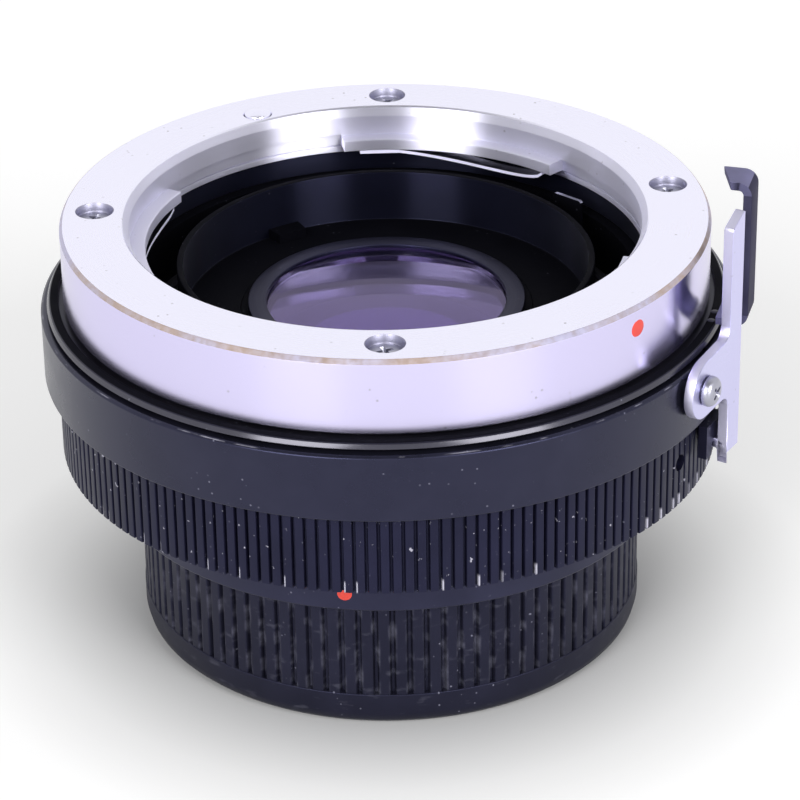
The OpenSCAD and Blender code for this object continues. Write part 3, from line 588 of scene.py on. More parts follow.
black_enamel = black_finish(
    "black_enamel", (0.007, 0.007, 0.012), (0.24, 0.34), 0.06, 0.7, wear=name_edge_wear_and_highlight
)
grip_anodised = black_finish(
    "grip_anodised", (0.005, 0.005, 0.013), (0.36, 0.5), 0.15, 0.6, 0.32, wear=grip_wear_and_glints
)
cap_plastic = black_finish(
    "cap_plastic", (0.006, 0.006, 0.011), (0.4, 0.55), 0.3, 0.8, 0.32, wear=cap_dust, wear_color=DUST
)
print("worn enamel, anodising and plastic ready")

# %% [markdown]
# ## Glass and paint
# The lenses carry a single coating that answers white light with a weak purple. A tint on the reflection
# gives each surface its lavender, and a paler one in the body colours what is seen through the glass. The
# red of the index dots is a little uneven, as paint from a brush is.

# %% Coated glass and index paint
GLASS = (0.72, 0.64, 1.0)
COATING = (0.36, 0.16, 1.0, 1)
FLINT_IOR = 1.75


def coated_glass_finish():
    material, tree, shader = new_finish("coated_glass", GLASS, 0.01)
    shader.inputs["Transmission Weight"].default_value = 1.0
    shader.inputs["IOR"].default_value = FLINT_IOR
    shader.inputs["Specular Tint"].default_value = COATING
    haze = noise(tree, object_point(tree), 300.0, 4.0)
    tree.links.new(ramp(tree, haze, 0.4, 0.75, 0.005, 0.05), shader.inputs["Roughness"])
    return material


def index_paint_finish():
    material, tree, shader = new_finish("index_paint", (0.74, 0.06, 0.04), 0.35)
    patches = noise(tree, object_point(tree), 2200.0, 4.0)
    red = mix_color(tree, patches, (0.76, 0.065, 0.045), (0.66, 0.045, 0.03))
    tree.links.new(red, shader.inputs["Base Color"])
    bump(tree, shader, patches, 0.3, 0.03)
    return material


coated_glass = coated_glass_finish()
red_paint = index_paint_finish()
print("glass and paint ready")

# %% [markdown]
# ## The front mount
# One turned ring carries the seat for a lens, a coned register and three lips. It is spun as a whole with
# the lips all the way round, and the three gaps, four countersinks and the pin's hole are then cut, in the
# order in which a shop would make them. The recess under the lips is given a matt black.

# %% Turned ring with its lips
LIPS = ((44, 100), (151, 220), (284, 347))
LIP_T = 1.15
SKIRT_W = 1.2
SKIRT_DOWN = 0.36
z_lip = z_flange + 2.9
z_black = z_lip - 0.75
z_skirt = z_flange - SKIRT_DOWN
gap_r = ledge_r + 0.4
undercut_r = gap_r + 0.01

mount = lathe(
    [
        (claw_r, z_flange, 0.1),
        (flange_r - SKIRT_W, z_flange, 0),
        (flange_r - SKIRT_W, z_skirt, 0.05),
        (flange_r, z_skirt, 0.14),
        (flange_r, z_face - 0.42, 0.1),
        (flange_r - 0.25, z_face, 0.12),
        (register_r + 0.26, z_face, 0.03),
        (register_r + 0.06, z_face - 0.17, 0.03),
        (ledge_r, z_face - 0.85, 0.06),
        (ledge_r, z_lip + LIP_T, 0),
        (throat_r, z_lip + LIP_T, 0.12),
        (throat_r, z_lip, 0.12),
        (claw_r, z_lip, 0),
        (claw_r, z_lip - 0.14, 0),
        (undercut_r, z_lip - 0.17, 0.03),
        (undercut_r, z_black, 0.05),
        (claw_r, z_black, 0),
    ]
)
for lip, after in zip(LIPS, LIPS[1:] + ((LIPS[0][0] + 360, 0),)):
    gap = arc_block(throat_r - 1, gap_r, z_lip - 1, z_lip + LIP_T + 0.1, lip[1], after[0])
    mount = cut(mount, gap)
print("front mount turned, with", len(LIPS), "lips")

# %% Countersinks and the pin's hole
SCREW_PITCH_R = 26.85
SCREW_ANGLES = (9.8, 89.1, 178.1, 269.6)
HEAD_R = 1.6
HEAD_DOWN = 0.68
SINK_R = 1.78
SHANK_R = 0.8
PIN_PITCH_R = 25.9
PIN_ANGLE = 118.4
PIN_R = 1.35
countersink = lathe(
    [
        (0, -6, 0),
        (SHANK_R + 0.05, -6, 0),
        (SHANK_R + 0.05, -HEAD_DOWN - 1, 0),
        (HEAD_R + 0.03, -HEAD_DOWN - 0.18, 0),
        (HEAD_R + 0.08, -HEAD_DOWN, 0),
        (SINK_R - 0.06, -0.1, 0),
        (SINK_R + 0.05, 0.05, 0),
        (SINK_R + 0.05, 1, 0),
        (0, 1, 0),
    ],
    SMALL_TURNS,
)
mouth_r = PIN_R + 0.15
pin_hole = lathe(
    [(0, -9, 0), (PIN_R, -9, 0), (PIN_R, -0.12, 0), (mouth_r, 0.05, 0), (mouth_r, 1, 0), (0, 1, 0)],
    SMALL_TURNS,
)
screw_places = [at_angle(SCREW_PITCH_R, angle, z_face) for angle in SCREW_ANGLES]
holes = bmesh.new()
for place in screw_places:
    put(holes, countersink, place)
put(holes, pin_hole, at_angle(PIN_PITCH_R, PIN_ANGLE, z_face))
countersink.free()
pin_hole.free()
mount = cut(mount, holes)
print(len(SCREW_ANGLES), "countersinks and one pin hole cut")

# %% Finishes of the front mount
WALL, UNDER_LIPS, BORE, SINK, BEVEL = 1, 2, 3, 4, 5
mount.normal_update()
for face in mount.faces:
    middle = face.calc_center_median()
    radius = middle.xy.length
    below_face = middle.z < z_face - 0.01
    to_screw = min((middle.xy - place.to_translation().xy).length for place in screw_places)
    # Countersink walls get the darker metal, painted shade in the recesses.
    if to_screw < SINK_R and below_face:
        face.material_index = SINK
    elif radius > flange_r - 0.45 and 0.25 < face.normal.z < 0.97:
        face.material_index = BEVEL
    # The outer wall takes the darker chrome, painted shade on the side wall.
    elif radius > flange_r - 0.1 and abs(face.normal.z) < 0.7:
        face.material_index = WALL
    elif radius < claw_r + 0.1 and middle.z < z_black:
        face.material_index = UNDER_LIPS
    elif radius < register_r + 0.1 and below_face:
        face.material_index = BORE
chrome = (turned_chrome, shaded_wall_chrome, matt_black, bored_chrome, shaded_sink_steel, bevel_wear_and_shade)
finish_piece(mount, "chrome_front_mount", "housing", ["front_mount"], "chrome_mount", *chrome)

# %% [markdown]
# ## The lock pin
# A sprung pin stands in the flange's face and drops into a slot of the lens, to stop it from turning. Its
# end is domed so that the lens can push it down. The dome is drawn with two rounded corners of a turned
# outline, and one matrix carries the pin out to its hole.

# %% Lock pin
PIN_PLAY = 0.06
pin_low, pin_top = (corner.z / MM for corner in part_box("lock_pin"))
lock_pin = lathe(
    [
        (0, pin_low, 0),
        (PIN_R - PIN_PLAY, pin_low, 0.1),
        (PIN_R - PIN_PLAY, pin_top - 0.34, 0.15),
        (PIN_R * 0.5, pin_top - 0.05, 0.3),
        (0, pin_top, 0),
    ],
    SMALL_TURNS,
)
bmesh.ops.transform(lock_pin, matrix=at_angle(PIN_PITCH_R, PIN_ANGLE, 0), verts=lock_pin.verts)
finish_piece(lock_pin, "domed_lock_pin", "pin", ["lock_pin"], "chrome_mount", turned_chrome)

# %% [markdown]
# ## Screws with a cross recess
# Each screw is a small turned head and shank. The recess is a wedge, tapered to a point as the driver is, cut
# in twice at right angles. No two screws on a real object stop at the same turn, so each has its own.

# %% Cross screw tool


def recess_blade(length, width, depth):
    """A tapered blade that points down from the level 0."""
    bm = bmesh.new()
    bmesh.ops.create_cube(bm, size=1.0)
    bmesh.ops.scale(bm, vec=(length, width, depth * 1.5), verts=bm.verts)
    bmesh.ops.translate(bm, vec=(0, 0, -depth * 0.25), verts=bm.verts)
    tip = [v for v in bm.verts if v.co.z < -depth * 0.5]
    bmesh.ops.scale(bm, vec=(0.35, 0.6, 1), verts=tip)
    return bm


def cross_screw(outline, top, length, width, depth):
    """Turn a screw and cut the cross into its top."""
    bm = lathe(outline, SMALL_TURNS)
    for quarter in (0, 90):
        blade = recess_blade(length, width, depth)
        bmesh.ops.transform(blade, matrix=about_axis(quarter), verts=blade.verts)
        bmesh.ops.translate(blade, vec=(0, 0, top), verts=blade.verts)
        bm = cut(bm, blade)
    return bm


print("cross screws are turned with", SMALL_TURNS, "steps")

# %% Flange screws
SCREW_L = 9.6
SCREW_TURNS = (12, 37, -20, 24)
EDGE_DOWN = 0.15
shank_l = SCREW_L - HEAD_DOWN
flange_screw = cross_screw(
    [
        (0, -shank_l, 0),
        (SHANK_R, -shank_l, 0.2),
        (SHANK_R, -EDGE_DOWN - HEAD_R + SHANK_R, 0),
        (HEAD_R, -EDGE_DOWN, 0.06),
        (HEAD_R * 0.75, -0.03, 0.1),
        (0, 0, 0),
    ],
    top=0,
    length=HEAD_R * 1.25,
    width=0.42,
    depth=0.7,
)
screws = bmesh.new()
for angle, turn in zip(SCREW_ANGLES, SCREW_TURNS):
    put(screws, flange_screw, at_angle(SCREW_PITCH_R, angle, z_face - HEAD_DOWN) @ about_axis(turn))
flange_screw.free()
finish_piece(screws, "flange_screws", "housing", ["front_screws"], "steel", screw_steel)

# %% Lever screw
LEVER_ANGLE = -32
LEVER_T = 0.95
PIVOT_R = 1
PAN_R = 1.4
PIVOT_TURN = 38
lever_z = z_name_top - 1.85
lever_in = name_r + 0.3
lever_out = lever_in + LEVER_T
pan_top = lever_out + 1.05
face_outwards = Matrix(((0, 0, 1, 0), (1, 0, 0, 0), (0, 1, 0, 0), (0, 0, 0, 1)))
lever_place = about_axis(LEVER_ANGLE) @ Matrix.Translation((0, 0, lever_z)) @ face_outwards
pivot = cross_screw(
    [
        (0, name_r - 5.5, 0),
        (SHANK_R, name_r - 5.5, 0.2),
        (SHANK_R, name_r - 2.4, 0),
        (PIVOT_R, name_r - 2.4, 0),
        (PIVOT_R, lever_out + 0.1, 0),
        (PAN_R, lever_out + 0.1, 0.08),
        (PAN_R, lever_out + 0.7, 0.3),
        (0.9, pan_top, 0.3),
        (0, pan_top, 0),
    ],
    top=lever_out + 1.0,
    length=1.75,
    width=0.36,
    depth=0.5,
)
bmesh.ops.transform(pivot, matrix=about_axis(PIVOT_TURN), verts=pivot.verts)
bmesh.ops.transform(pivot, matrix=lever_place, verts=pivot.verts)
finish_piece(pivot, "lever_screw", "housing", ["release_screw"], "steel", screw_steel)

# %% [markdown]
# ## The smooth rings
# The name ring, the coupling ring above it and the rear collar are plain turned bands. Only their edges
# differ, and the eye reads the edges first: a crisp bevel on the name ring, and on the coupling ring a narrow
# facet that catches the light below a dull top.

# %% Name ring
name_seat_r = name_r - 2.45
name_bore_r = name_seat_r + 0.03
name_band = lathe(
    [
        (name_bore_r, z_name, 0),
        (name_r, z_name, 0.15),
        (name_r, z_name_top - 0.22, 0.08),
        (name_r - 0.26, z_name_top, 0.08),
        (name_bore_r, z_name_top, 0),
    ]
)
finish_piece(name_band, "name_band", "housing", ["name_ring"], "black_anodised", black_enamel)

# %% Coupling ring
NECK_R = 28.05
INNER_STEP = 0.4
FACET, DULL_TOP = 1, 2
rim_r = flange_r + 0.46
z_shelf = z_coupling + 0.2
coupling_band = lathe(
    [
        (NECK_R, z_coupling, 0),
        (name_seat_r - 0.3, z_coupling, 0),
        (name_seat_r - 0.3, z_shelf, 0),
        (coupling_r - 0.15, z_shelf, 0),
        (coupling_r - 0.02, z_coupling + 0.3, 0.04),
        (coupling_r - 0.24, z_coupling + 0.71, 0.05),
        (coupling_r - 0.42, z_coupling_top, 0.06),
        (rim_r, z_coupling_top, 0.06),
        (rim_r, z_coupling_top - INNER_STEP, 0),
        (NECK_R, z_coupling_top - INNER_STEP, 0),
    ]
)
coupling_band.normal_update()
for face in coupling_band.faces:
    level = face.calc_center_median().z
    if 0.2 < face.normal.z < 0.75 and level < z_coupling_top - 0.06:
        face.material_index = FACET
    elif face.normal.z > 0.9 and level > z_coupling_top - 0.1:
        face.material_index = DULL_TOP
blacks = (satin_black, gloss_black, dead_black)
finish_piece(coupling_band, "coupling_band", "coupling", ["coupling_ring"], "black_gloss", *blacks)

# %% Rear collar
COLLAR_BORE_R = 19.6
z_plate = z_collar + 2.4
plate_r = collar_r - 0.87
collar_band = lathe(
    [
        (COLLAR_BORE_R, z_plate, 0),
        (plate_r, z_plate, 0),
        (plate_r, z_collar, 0),
        (collar_r, z_collar, 0.25),
        (collar_r, z_collar_top, 0.05),
        (COLLAR_BORE_R, z_collar_top, 0),
    ]
)
finish_piece(collar_band, "collar_band", "housing", ["rear_collar"], "black_anodised", black_anodised)

# %% [markdown]
# ## Ribbed rings
# A knurled ring is one rib repeated. The rib is drawn from the middle of one groove to the middle of the
# next, raised, closed above and below towards the axis, and its edges are broken; a spin with copies then
# sets it round the ring and the copies are welded. The ribs stay simple, because there are hundreds.

# %% Ribbed ring tool


def parts(geom, kind):
    """The vertices, edges or faces among the parts that an operator gives back."""
    return [part for part in geom if isinstance(part, kind)]


def break_edges(bm, edges, size):
    """Take the sharpness off edges with a small bevel."""
    bmesh.ops.bevel(
        bm,
        geom=edges,
        offset=size,
        offset_type="OFFSET",
        affect="EDGES",
        segments=2,
        profile=0.5,
        material=-1,
    )


def ribbed_ring(count, r_out, r_in, z_low, z_high, land, edge, depth=0.45):
    """A ring of ribs; land is the share of the pitch that a rib's flat top takes."""
    bm = bmesh.new()
    pitch = 2 * math.pi / count
    groove = (1 - land) / 2
    half = ((0, depth), (groove * 0.45, depth), (groove, 0))
    loop = []
    for share, down in half + tuple((1 - share, down) for share, down in reversed(half)):
        turn, radius = share * pitch, r_out - down
        loop.append(bm.verts.new((math.cos(turn) * radius, math.sin(turn) * radius, z_low)))
    low = [bm.edges.new(pair) for pair in zip(loop, loop[1:])]
    high = bmesh.ops.extrude_edge_only(bm, edges=low)["geom"]
    bmesh.ops.translate(bm, vec=(0, 0, z_high - z_low), verts=parts(high, BMVert))
    for rim in (low, parts(high, BMEdge)):
        inner = bmesh.ops.extrude_edge_only(bm, edges=rim)["geom"]
        for vert in parts(inner, BMVert):
            vert.co.xy *= r_in / vert.co.xy.length
    on_land = [v for v in bm.verts if v.co.xy.length > r_out - depth * 0.2]
    break_edges(bm, [e for e in bm.edges if e.verts[0] in on_land and e.verts[1] in on_land], edge)
    bmesh.ops.spin(
        bm,
        geom=bm.verts[:] + bm.edges[:] + bm.faces[:],
        cent=ORIGIN,
        axis=AXIS,
        angle=2 * math.pi - pitch,
        steps=count - 1,
        use_duplicate=True,
    )
    bmesh.ops.remove_doubles(bm, verts=bm.verts, dist=2e-3)
    bmesh.ops.bridge_loops(bm, edges=[e for e in bm.edges if e.is_boundary])
    return weld(bm)


print("ribbed rings:", GRIP_RIBS, "ribs on the grip,", CAP_RIBS, "on the cap")

# %% Grip ring
STRIP_U = 4.4
STRIP_W = 2.3
WINDOW_H = 2.3
GRUB_R = 0.8
GRUB_UP = 4.35
GRUB_ANGLES = (-31.8, 60, 150)
grip_seat_r = grip_r - 2.17
z_lock = z_grip + 5.1
grip = ribbed_ring(GRIP_RIBS, grip_r, grip_seat_r, z_grip, z_grip_top, land=0.7, edge=0.09)
window = bmesh.new()
bmesh.ops.create_cube(window, size=1.0)
bmesh.ops.scale(window, vec=(STRIP_W + 2.4, WINDOW_H, 8), verts=window.verts)
window_at = (STRIP_U - 0.4 + STRIP_W / 2 + 1.2, z_lock + 0.8 - lever_z, grip_seat_r)
bmesh.ops.translate(window, vec=window_at, verts=window.verts)
bmesh.ops.transform(window, matrix=lever_place, verts=window.verts)
grip = cut(grip, window)
grub_hole = lathe([(0, -3, 0), (GRUB_R, -3, 0), (GRUB_R, 3, 0), (0, 3, 0)], 32)
for angle in GRUB_ANGLES:
    hole = put(bmesh.new(), grub_hole, at_angle(grip_r, angle, z_grip + GRUB_UP) @ LIE_DOWN)
    grip = cut(grip, hole)
grub_hole.free()
finish_piece(grip, "grip_ribs", "housing", ["grip_ring"], "black_anodised", grip_anodised)

# %% Rear cap
CAP_FLOOR = 1.6
rib_r = cap_r - 0.08
cap_bore_r = rib_r - 1.4
cap = ribbed_ring(CAP_RIBS, rib_r, cap_bore_r, CAP_BAND - 0.5, z_cap_top, land=0.66, edge=0.12)
foot = lathe(
    [
        (0, 0, 0),
        (cap_r, 0, 1.4),
        (cap_r, CAP_BAND, 0.12),
        (cap_bore_r, CAP_BAND, 0),
        (cap_bore_r, CAP_FLOOR, 0.4),
        (0, CAP_FLOOR, 0),
    ]
)
cap = cut(cap, foot, "UNION")
finish_piece(cap, "ribbed_cap", "cap", ["rear_cap"], "black_plastic", cap_plastic)

# %% [markdown]
# ## Inside the throat
# The light baffle is a thin black cup with a low lug on its floor, and the retainer ring inside it holds the
# front lens. The lenses are spun from true arcs: a point is carried round the ball's centre to draw the
# curve, and the curve is carried round the axis, so the glass bends light as ground glass does.

# %% Light baffle
NOSE_R = 13.63
baffle_bore_r = baffle_r - 0.6
z_floor = z_baffle + 1
cup = lathe(
    [
        (NOSE_R, z_baffle, 0),
        (baffle_r, z_baffle, 0.1),
        (baffle_r, z_baffle_top, 0.12),
        (baffle_bore_r, z_baffle_top, 0.12),
        (baffle_bore_r, z_floor, 0.15),
        (NOSE_R, z_floor, 0.08),
    ]
)
lug = arc_block(baffle_bore_r - 1.8, baffle_bore_r + 0.3, z_floor - 0.3, z_floor + 0.9, 117, 127)
cup = cut(cup, lug, "UNION")
cup.normal_update()
for face in cup.faces:
    from_bore = abs(face.calc_center_median().xy.length - baffle_bore_r)
    face.material_index = 0 if abs(face.normal.z) < 0.5 and from_bore < 0.2 else 1
finish_piece(cup, "baffle_cup", "housing", ["light_baffle"], "black_anodised", matt_black, dead_black)

# %% Retainer ring
LENS_R = 11.9
keeper_r = LENS_R - 0.7
lens_seat_r = LENS_R + 0.1
thread_r = retainer_r - 0.38
z_keeper = z_retainer_top - 0.35
z_nose = z_retainer_top - 0.9
keeper = lathe(
    [
        (keeper_r, z_keeper, 0),
        (lens_seat_r, z_keeper, 0),
        (lens_seat_r, z_retainer, 0),
        (thread_r, z_retainer, 0),
        (thread_r, z_nose, 0),
        (retainer_r, z_nose, 0),
        (retainer_r, z_retainer_top, 0.1),
        (keeper_r, z_retainer_top, 0.12),
    ]
)
finish_piece(keeper, "lens_keeper", "housing", ["front_retainer"], "grey_metal", grey_metal)

# %% Lenses
LENS_TURNS = 128
ARC_STEPS = 24
NODE_CROWN = 0.55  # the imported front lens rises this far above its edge


def lens(z_low, z_high, top_sag, low_sag, dish_r):
    """A lens between two levels of its edge; a sag above 0 domes the surface upwards.

    The top is curved out to dish_r and flat from there to the edge.
    """
    bm = bmesh.new()
    rims = []
    for z_edge, sag, reach in ((z_low, low_sag, LENS_R), (z_high, top_sag, dish_r)):
        last = bm.verts.new((0, 0, z_edge + sag))
        if sag:
            ball = (reach**2 + sag**2) / (2 * sag)
            last = bmesh.ops.spin(
                bm,
                geom=[last],
                cent=(0, 0, z_edge + sag - ball),
                axis=(0, 1, 0),
                angle=math.asin(reach / ball),
                steps=ARC_STEPS,
            )["geom_last"][0]
        if not sag or reach < LENS_R:
            rims.append(bm.verts.new((LENS_R, 0, z_edge)))
            bm.edges.new((last, rims[-1]))
        else:
            rims.append(last)
    bm.edges.new(rims)
    return spin_round(bm, LENS_TURNS)


for node, crown, top_sag, low_sag, dish_r in (
    ("front_lens", NODE_CROWN, 0.15, 0.4, LENS_R),
    ("pair_lens_a", 0, -1.2, 0, 8.0),
    ("pair_lens_b", 0, 0, 0.8, LENS_R),
    ("rear_lens", 0, -1.1, 0.6, LENS_R),
):
    _, z_low, z_high = ring_size(node)
    glass = lens(z_low, z_high - crown, top_sag, low_sag, dish_r)
    finish_piece(glass, node + "_glass", "housing", [node], "coated_glass", coated_glass)

# %% [markdown]
# ## The release lever and the hooked lever
# Both are cut and bent from sheet. The release lever's outline is drawn flat with sharp corners, rounded by a
# vertex bevel, and pushed to the sheet's thickness; its foot is carried round the bend by a spin. The hook is
# a short bar end, pushed along and spun round each bend in turn, as a strip is bent over a former, and a
# plane then cuts its tip at a slant. A curve with a bevel profile could draw the hook too, but the slant
# would still have to be cut.

# %% Sheet tools
SHARP = math.radians(50)


def push(bm, faces, vec, keep=False):
    """Push faces along and draw sides behind them; with keep, a copy stays behind as the back."""
    geom = bmesh.ops.extrude_face_region(bm, geom=faces, use_keep_orig=keep)["geom"]
    bmesh.ops.translate(bm, vec=vec, verts=parts(geom, BMVert))
    return parts(geom, BMFace)


def bend(bm, faces, centre, axis, steps):
    """Carry an end face round a right-angled bend."""
    turn = math.radians(-90)
    geom = bmesh.ops.spin(bm, geom=faces, cent=centre, axis=axis, angle=turn, steps=steps)["geom_last"]
    return parts(geom, BMFace)


def break_sharp_edges(bm, size):
    sharp = [e for e in bm.edges if e.is_manifold and e.calc_face_angle(0) > SHARP]
    break_edges(bm, sharp, size)
    weld(bm)
    bm.normal_update()


print("sheet edges over %.0f degrees are broken" % math.degrees(SHARP))

# %% Release lever
EAR_R = 2.7
EAR_ROUND = 2.6
ARMPIT = 1.1
STRIP_UP = 13.9
TIP_ROUND = 0.25
FOOT_BEND = 0.25
FOOT_L = 1.25
tail_down = lever_z - z_lock + 2.3
tail_v = -tail_down + LEVER_T + FOOT_BEND
outline = [
    (-EAR_R, -EAR_R, EAR_ROUND),
    (STRIP_U, -EAR_R + 0.2, ARMPIT),
    (STRIP_U, tail_v, 0),
    (STRIP_U + STRIP_W, tail_v, 0),
    (STRIP_U + STRIP_W, STRIP_UP + 1.1, TIP_ROUND),
    (STRIP_U, STRIP_UP, TIP_ROUND),
    (STRIP_U, EAR_R + 0.5, ARMPIT),
    (-EAR_R, EAR_R * 0.98, EAR_ROUND),
]
plate = bmesh.new()
corners = [plate.verts.new((u, v, lever_in)) for u, v, size in outline]
plate.faces.new(corners)
round_corners(plate, corners, [size for u, v, size in outline], 8)
push(plate, plate.faces[:], (0, 0, LEVER_T), keep=True)
plate.normal_update()
end = [f for f in plate.faces if f.normal.y < -0.99 and f.calc_center_median().y < -tail_down + 2]
bend_at = (0, end[0].calc_center_median().y, lever_in - FOOT_BEND)
foot = bend(plate, end, bend_at, (1, 0, 0), 6)
push(plate, foot, (0, 0, FOOT_BEND - FOOT_L))
weld(plate)
break_sharp_edges(plate, 0.07)
for face in plate.faces:
    face.material_index = 1 if abs(face.normal.z) < 0.3 and face.calc_center_median().z > lever_in else 0
bmesh.ops.transform(plate, matrix=lever_place, verts=plate.verts)
finish_piece(plate, "release_plate", "release", ["release_lever"], "steel", plated_steel, sheared_steel)

# %% Hooked lever
HOOK_ANGLE = -16
HOOK_W = 3.4
HOOK_T = 0.8
HOOK_BEND = 1.25
TIP_SLANT = math.radians(19)
TIP_UNDERCUT = math.radians(6)
ACROSS = (0, 1, 0)
LIT_TOP, SHADED_SIDE = 1, 2
hook_out, hook_low, hook_top = name_r + 2.15, z_coupling_top, z_face + 7
hook_foot_r = flange_r + 1.35
hook_tip_r = flange_r + 1.3
cut_r = hook_tip_r - 0.2
bend_r = hook_out - HOOK_BEND
strip = bmesh.new()
bmesh.ops.create_grid(strip, x_segments=1, y_segments=1, size=0.5)
stand = Matrix.Translation((hook_foot_r, 0, hook_low + HOOK_T / 2)) @ LIE_DOWN
bmesh.ops.transform(strip, matrix=stand @ Matrix.Diagonal((HOOK_T, HOOK_W, 1, 1)), verts=strip.verts)
tip = push(strip, strip.faces[:], (bend_r - hook_foot_r, 0, 0), keep=True)
tip = bend(strip, tip, (bend_r, 0, hook_low + HOOK_BEND), ACROSS, 8)
tip = push(strip, tip, (0, 0, hook_top - hook_low - 2 * HOOK_BEND))
tip = bend(strip, tip, (bend_r, 0, hook_top - HOOK_BEND), ACROSS, 8)
push(strip, tip, (cut_r - hook_out + HOOK_BEND, 0, 0))
weld(strip)
arm = [
    face
    for face in strip.faces
    if min(v.co.x for v in face.verts) < hook_tip_r and min(v.co.z for v in face.verts) > z_face
]
bmesh.ops.bisect_plane(
    strip,
    geom=list({part for face in arm for part in (face, *face.edges, *face.verts)}),
    plane_co=(cut_r, HOOK_W / 2, hook_top),
    plane_no=(-math.cos(TIP_SLANT), -math.sin(TIP_SLANT), -math.tan(TIP_UNDERCUT)),
    clear_outer=True,
)
close_holes(strip)
weld(strip)
break_sharp_edges(strip, 0.1)
# Upward faces take the lighter oxide, a painted highlight; the outward face takes the darkest, painted shade.
for face in strip.faces:
    if face.normal.z > 0.7:
        face.material_index = LIT_TOP
    elif face.normal.x > 0.7:
        face.material_index = SHADED_SIDE
bmesh.ops.transform(strip, matrix=about_axis(HOOK_ANGLE), verts=strip.verts)
oxides = (black_oxide, lit_top_oxide, dark_oxide_and_shade)
finish_piece(strip, "coupling_hook", "coupling", ["hook_lever"], "black_anodised", *oxides)

# %% [markdown]
# ## Rivets of the coupling ring
# Two rivets hold the hook's foot and one holds the link under the ring. They were dressed flush after they
# were set, so each is a short turned pin whose end stands up by the thickness of a hair.

# %% Rivets
RIVET_R = 0.4
RIVET_CROWN = 0.04
RIVETS_ACROSS = (-0.9, 0.9)
LINK_RIVET_R, LINK_ANGLE = name_seat_r - 0.95, 18


def rivet(low, high):
    """A rivet whose domed end stands just above the ring."""
    return lathe([(0, low, 0), (RIVET_R, low, 0), (RIVET_R, high, 0.03), (0, high + RIVET_CROWN, 0)], 24)


rivets = bmesh.new()
for across in RIVETS_ACROSS:
    place = at_angle(coupling_r - 0.75, HOOK_ANGLE, 0) @ Matrix.Translation((0, across, 0))
    put(rivets, rivet(z_shelf, z_coupling_top), place)
link_rivet = rivet(z_coupling - 0.9, z_coupling_top - INNER_STEP)
put(rivets, link_rivet, at_angle(LINK_RIVET_R, LINK_ANGLE, 0))
finish_piece(rivets, "flush_rivets", "coupling", ["coupling_rivets"], "black_anodised", satin_black)

# %% [markdown]
# ## The diaphragm blade
# Inside the throat a thin blackened tab reaches up to meet the lens's own diaphragm lever. Its upward faces
# are given bright steel, a painted highlight along its upper edge. It is drawn on edge with its upper corners
# rounded, and pushed to its thickness.

# %% Diaphragm blade
BLADE_T = 0.36
BLADE_ROUND = 0.3
BLADE_FROM = at_angle(21.0, 39.5, 0).to_translation()
BLADE_TO = at_angle(21.74, 30.5, 0).to_translation()
blade_low, blade_high = (corner.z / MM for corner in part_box("diaphragm_pusher"))
along = BLADE_TO - BLADE_FROM
sides = ((0, blade_low), (along.length, blade_low), (along.length, blade_high), (0, blade_high))
blade = bmesh.new()
corners = [blade.verts.new((u, 0, v)) for u, v in sides]
blade.faces.new(corners)
round_corners(blade, corners, (0, 0, BLADE_ROUND, BLADE_ROUND), 4)
push(blade, blade.faces[:], (0, BLADE_T, 0))
lay = Matrix.Translation(BLADE_FROM) @ Matrix.Rotation(math.atan2(along.y, along.x), 4, "Z")
bmesh.ops.transform(blade, matrix=lay, verts=blade.verts)
close_holes(blade)
weld(blade)
blade.normal_update()
# Upward faces take bright steel: a painted highlight on the blade's upper edge.
for face in blade.faces:
    face.material_index = 1 if face.normal.z > 0.3 else 0
finish_piece(blade, "diaphragm_blade", "diaphragm", ["diaphragm_pusher"], "steel", dead_black, screw_steel)

# %% [markdown]
# ## Index dots
# The two red dots are paint that was dropped into a drilled dimple and stands up a little as it dried. A low
# turned button, laid against the wall, is enough, and it keeps the wall behind it whole and smooth.

# %% Index dots
DOT_DEEP = 0.3
DOT_PROUD = 0.045


def index_dot(radius, wall_r, angle, level, node, name):
    dot = lathe(
        [
            (0, -DOT_DEEP, 0),
            (radius, -DOT_DEEP, 0),
            (radius, -0.01, 0.05),
            (radius * 0.6, DOT_PROUD - 0.01, 0.1),
            (0, DOT_PROUD, 0),
        ],
        40,
    )
    bmesh.ops.transform(dot, matrix=at_angle(wall_r, angle, level) @ LIE_DOWN, verts=dot.verts)
    finish_piece(dot, name, "housing", [node], "red_paint", red_paint)


index_dot(0.85, flange_r, -43.3, z_face - 2.2, "front_index", "front_dot")
index_dot(0.7, collar_r, -99.2, z_collar + 1.75, "rear_index", "rear_dot")

# %% [markdown]
# ## Pieces that keep their own shape
# The other nodes are right as they are, and many of them are hidden inside. They only get a finish, so that
# what is glimpsed past the lips or in an opened pose is metal, glass or paint like the rest.

# %% Finishes for the remaining nodes
kept = (
    (dead_black, "barrel optic_cell cell_lock_ring lens_spacer_a lens_spacer_b"),
    (black_anodised, "lock_arc"),
    (turned_chrome, "rear_mount"),
    (screw_steel, "rear_screws diaphragm_tail"),
    (spring_steel, "lock_pin_spring diaphragm_spring"),
    (shaded_spring_leaf, "bayonet_springs"),
    (dark_steel, "grub_screws snap_ring diaphragm_ring"),
    (dark_oxide_and_shade, "coupling_link"),
    (brass, "spring_anchor"),
)
for finish, names in kept:
    for node in names.split():
        nodes[node].data.materials.clear()
        nodes[node].data.materials.append(finish)
print("finished", sum(len(names.split()) for finish, names in kept), "nodes as they are")

# %% [markdown]
# ## Studio
# A white floor runs out of the picture on every side. Two soft boxes stand left and right of the camera in a
# room with white walls and a ceiling that is darker on the camera's side. Close to the object the floor's
# colour is greyer, painted shade that deepens the soft shadow at its foot. Its white is lifted for the
# camera, for reflections and through glass only, from nothing next to the object to full further out, so this
# lift also paints shade around the foot, and the lamps can stay at a plain level.

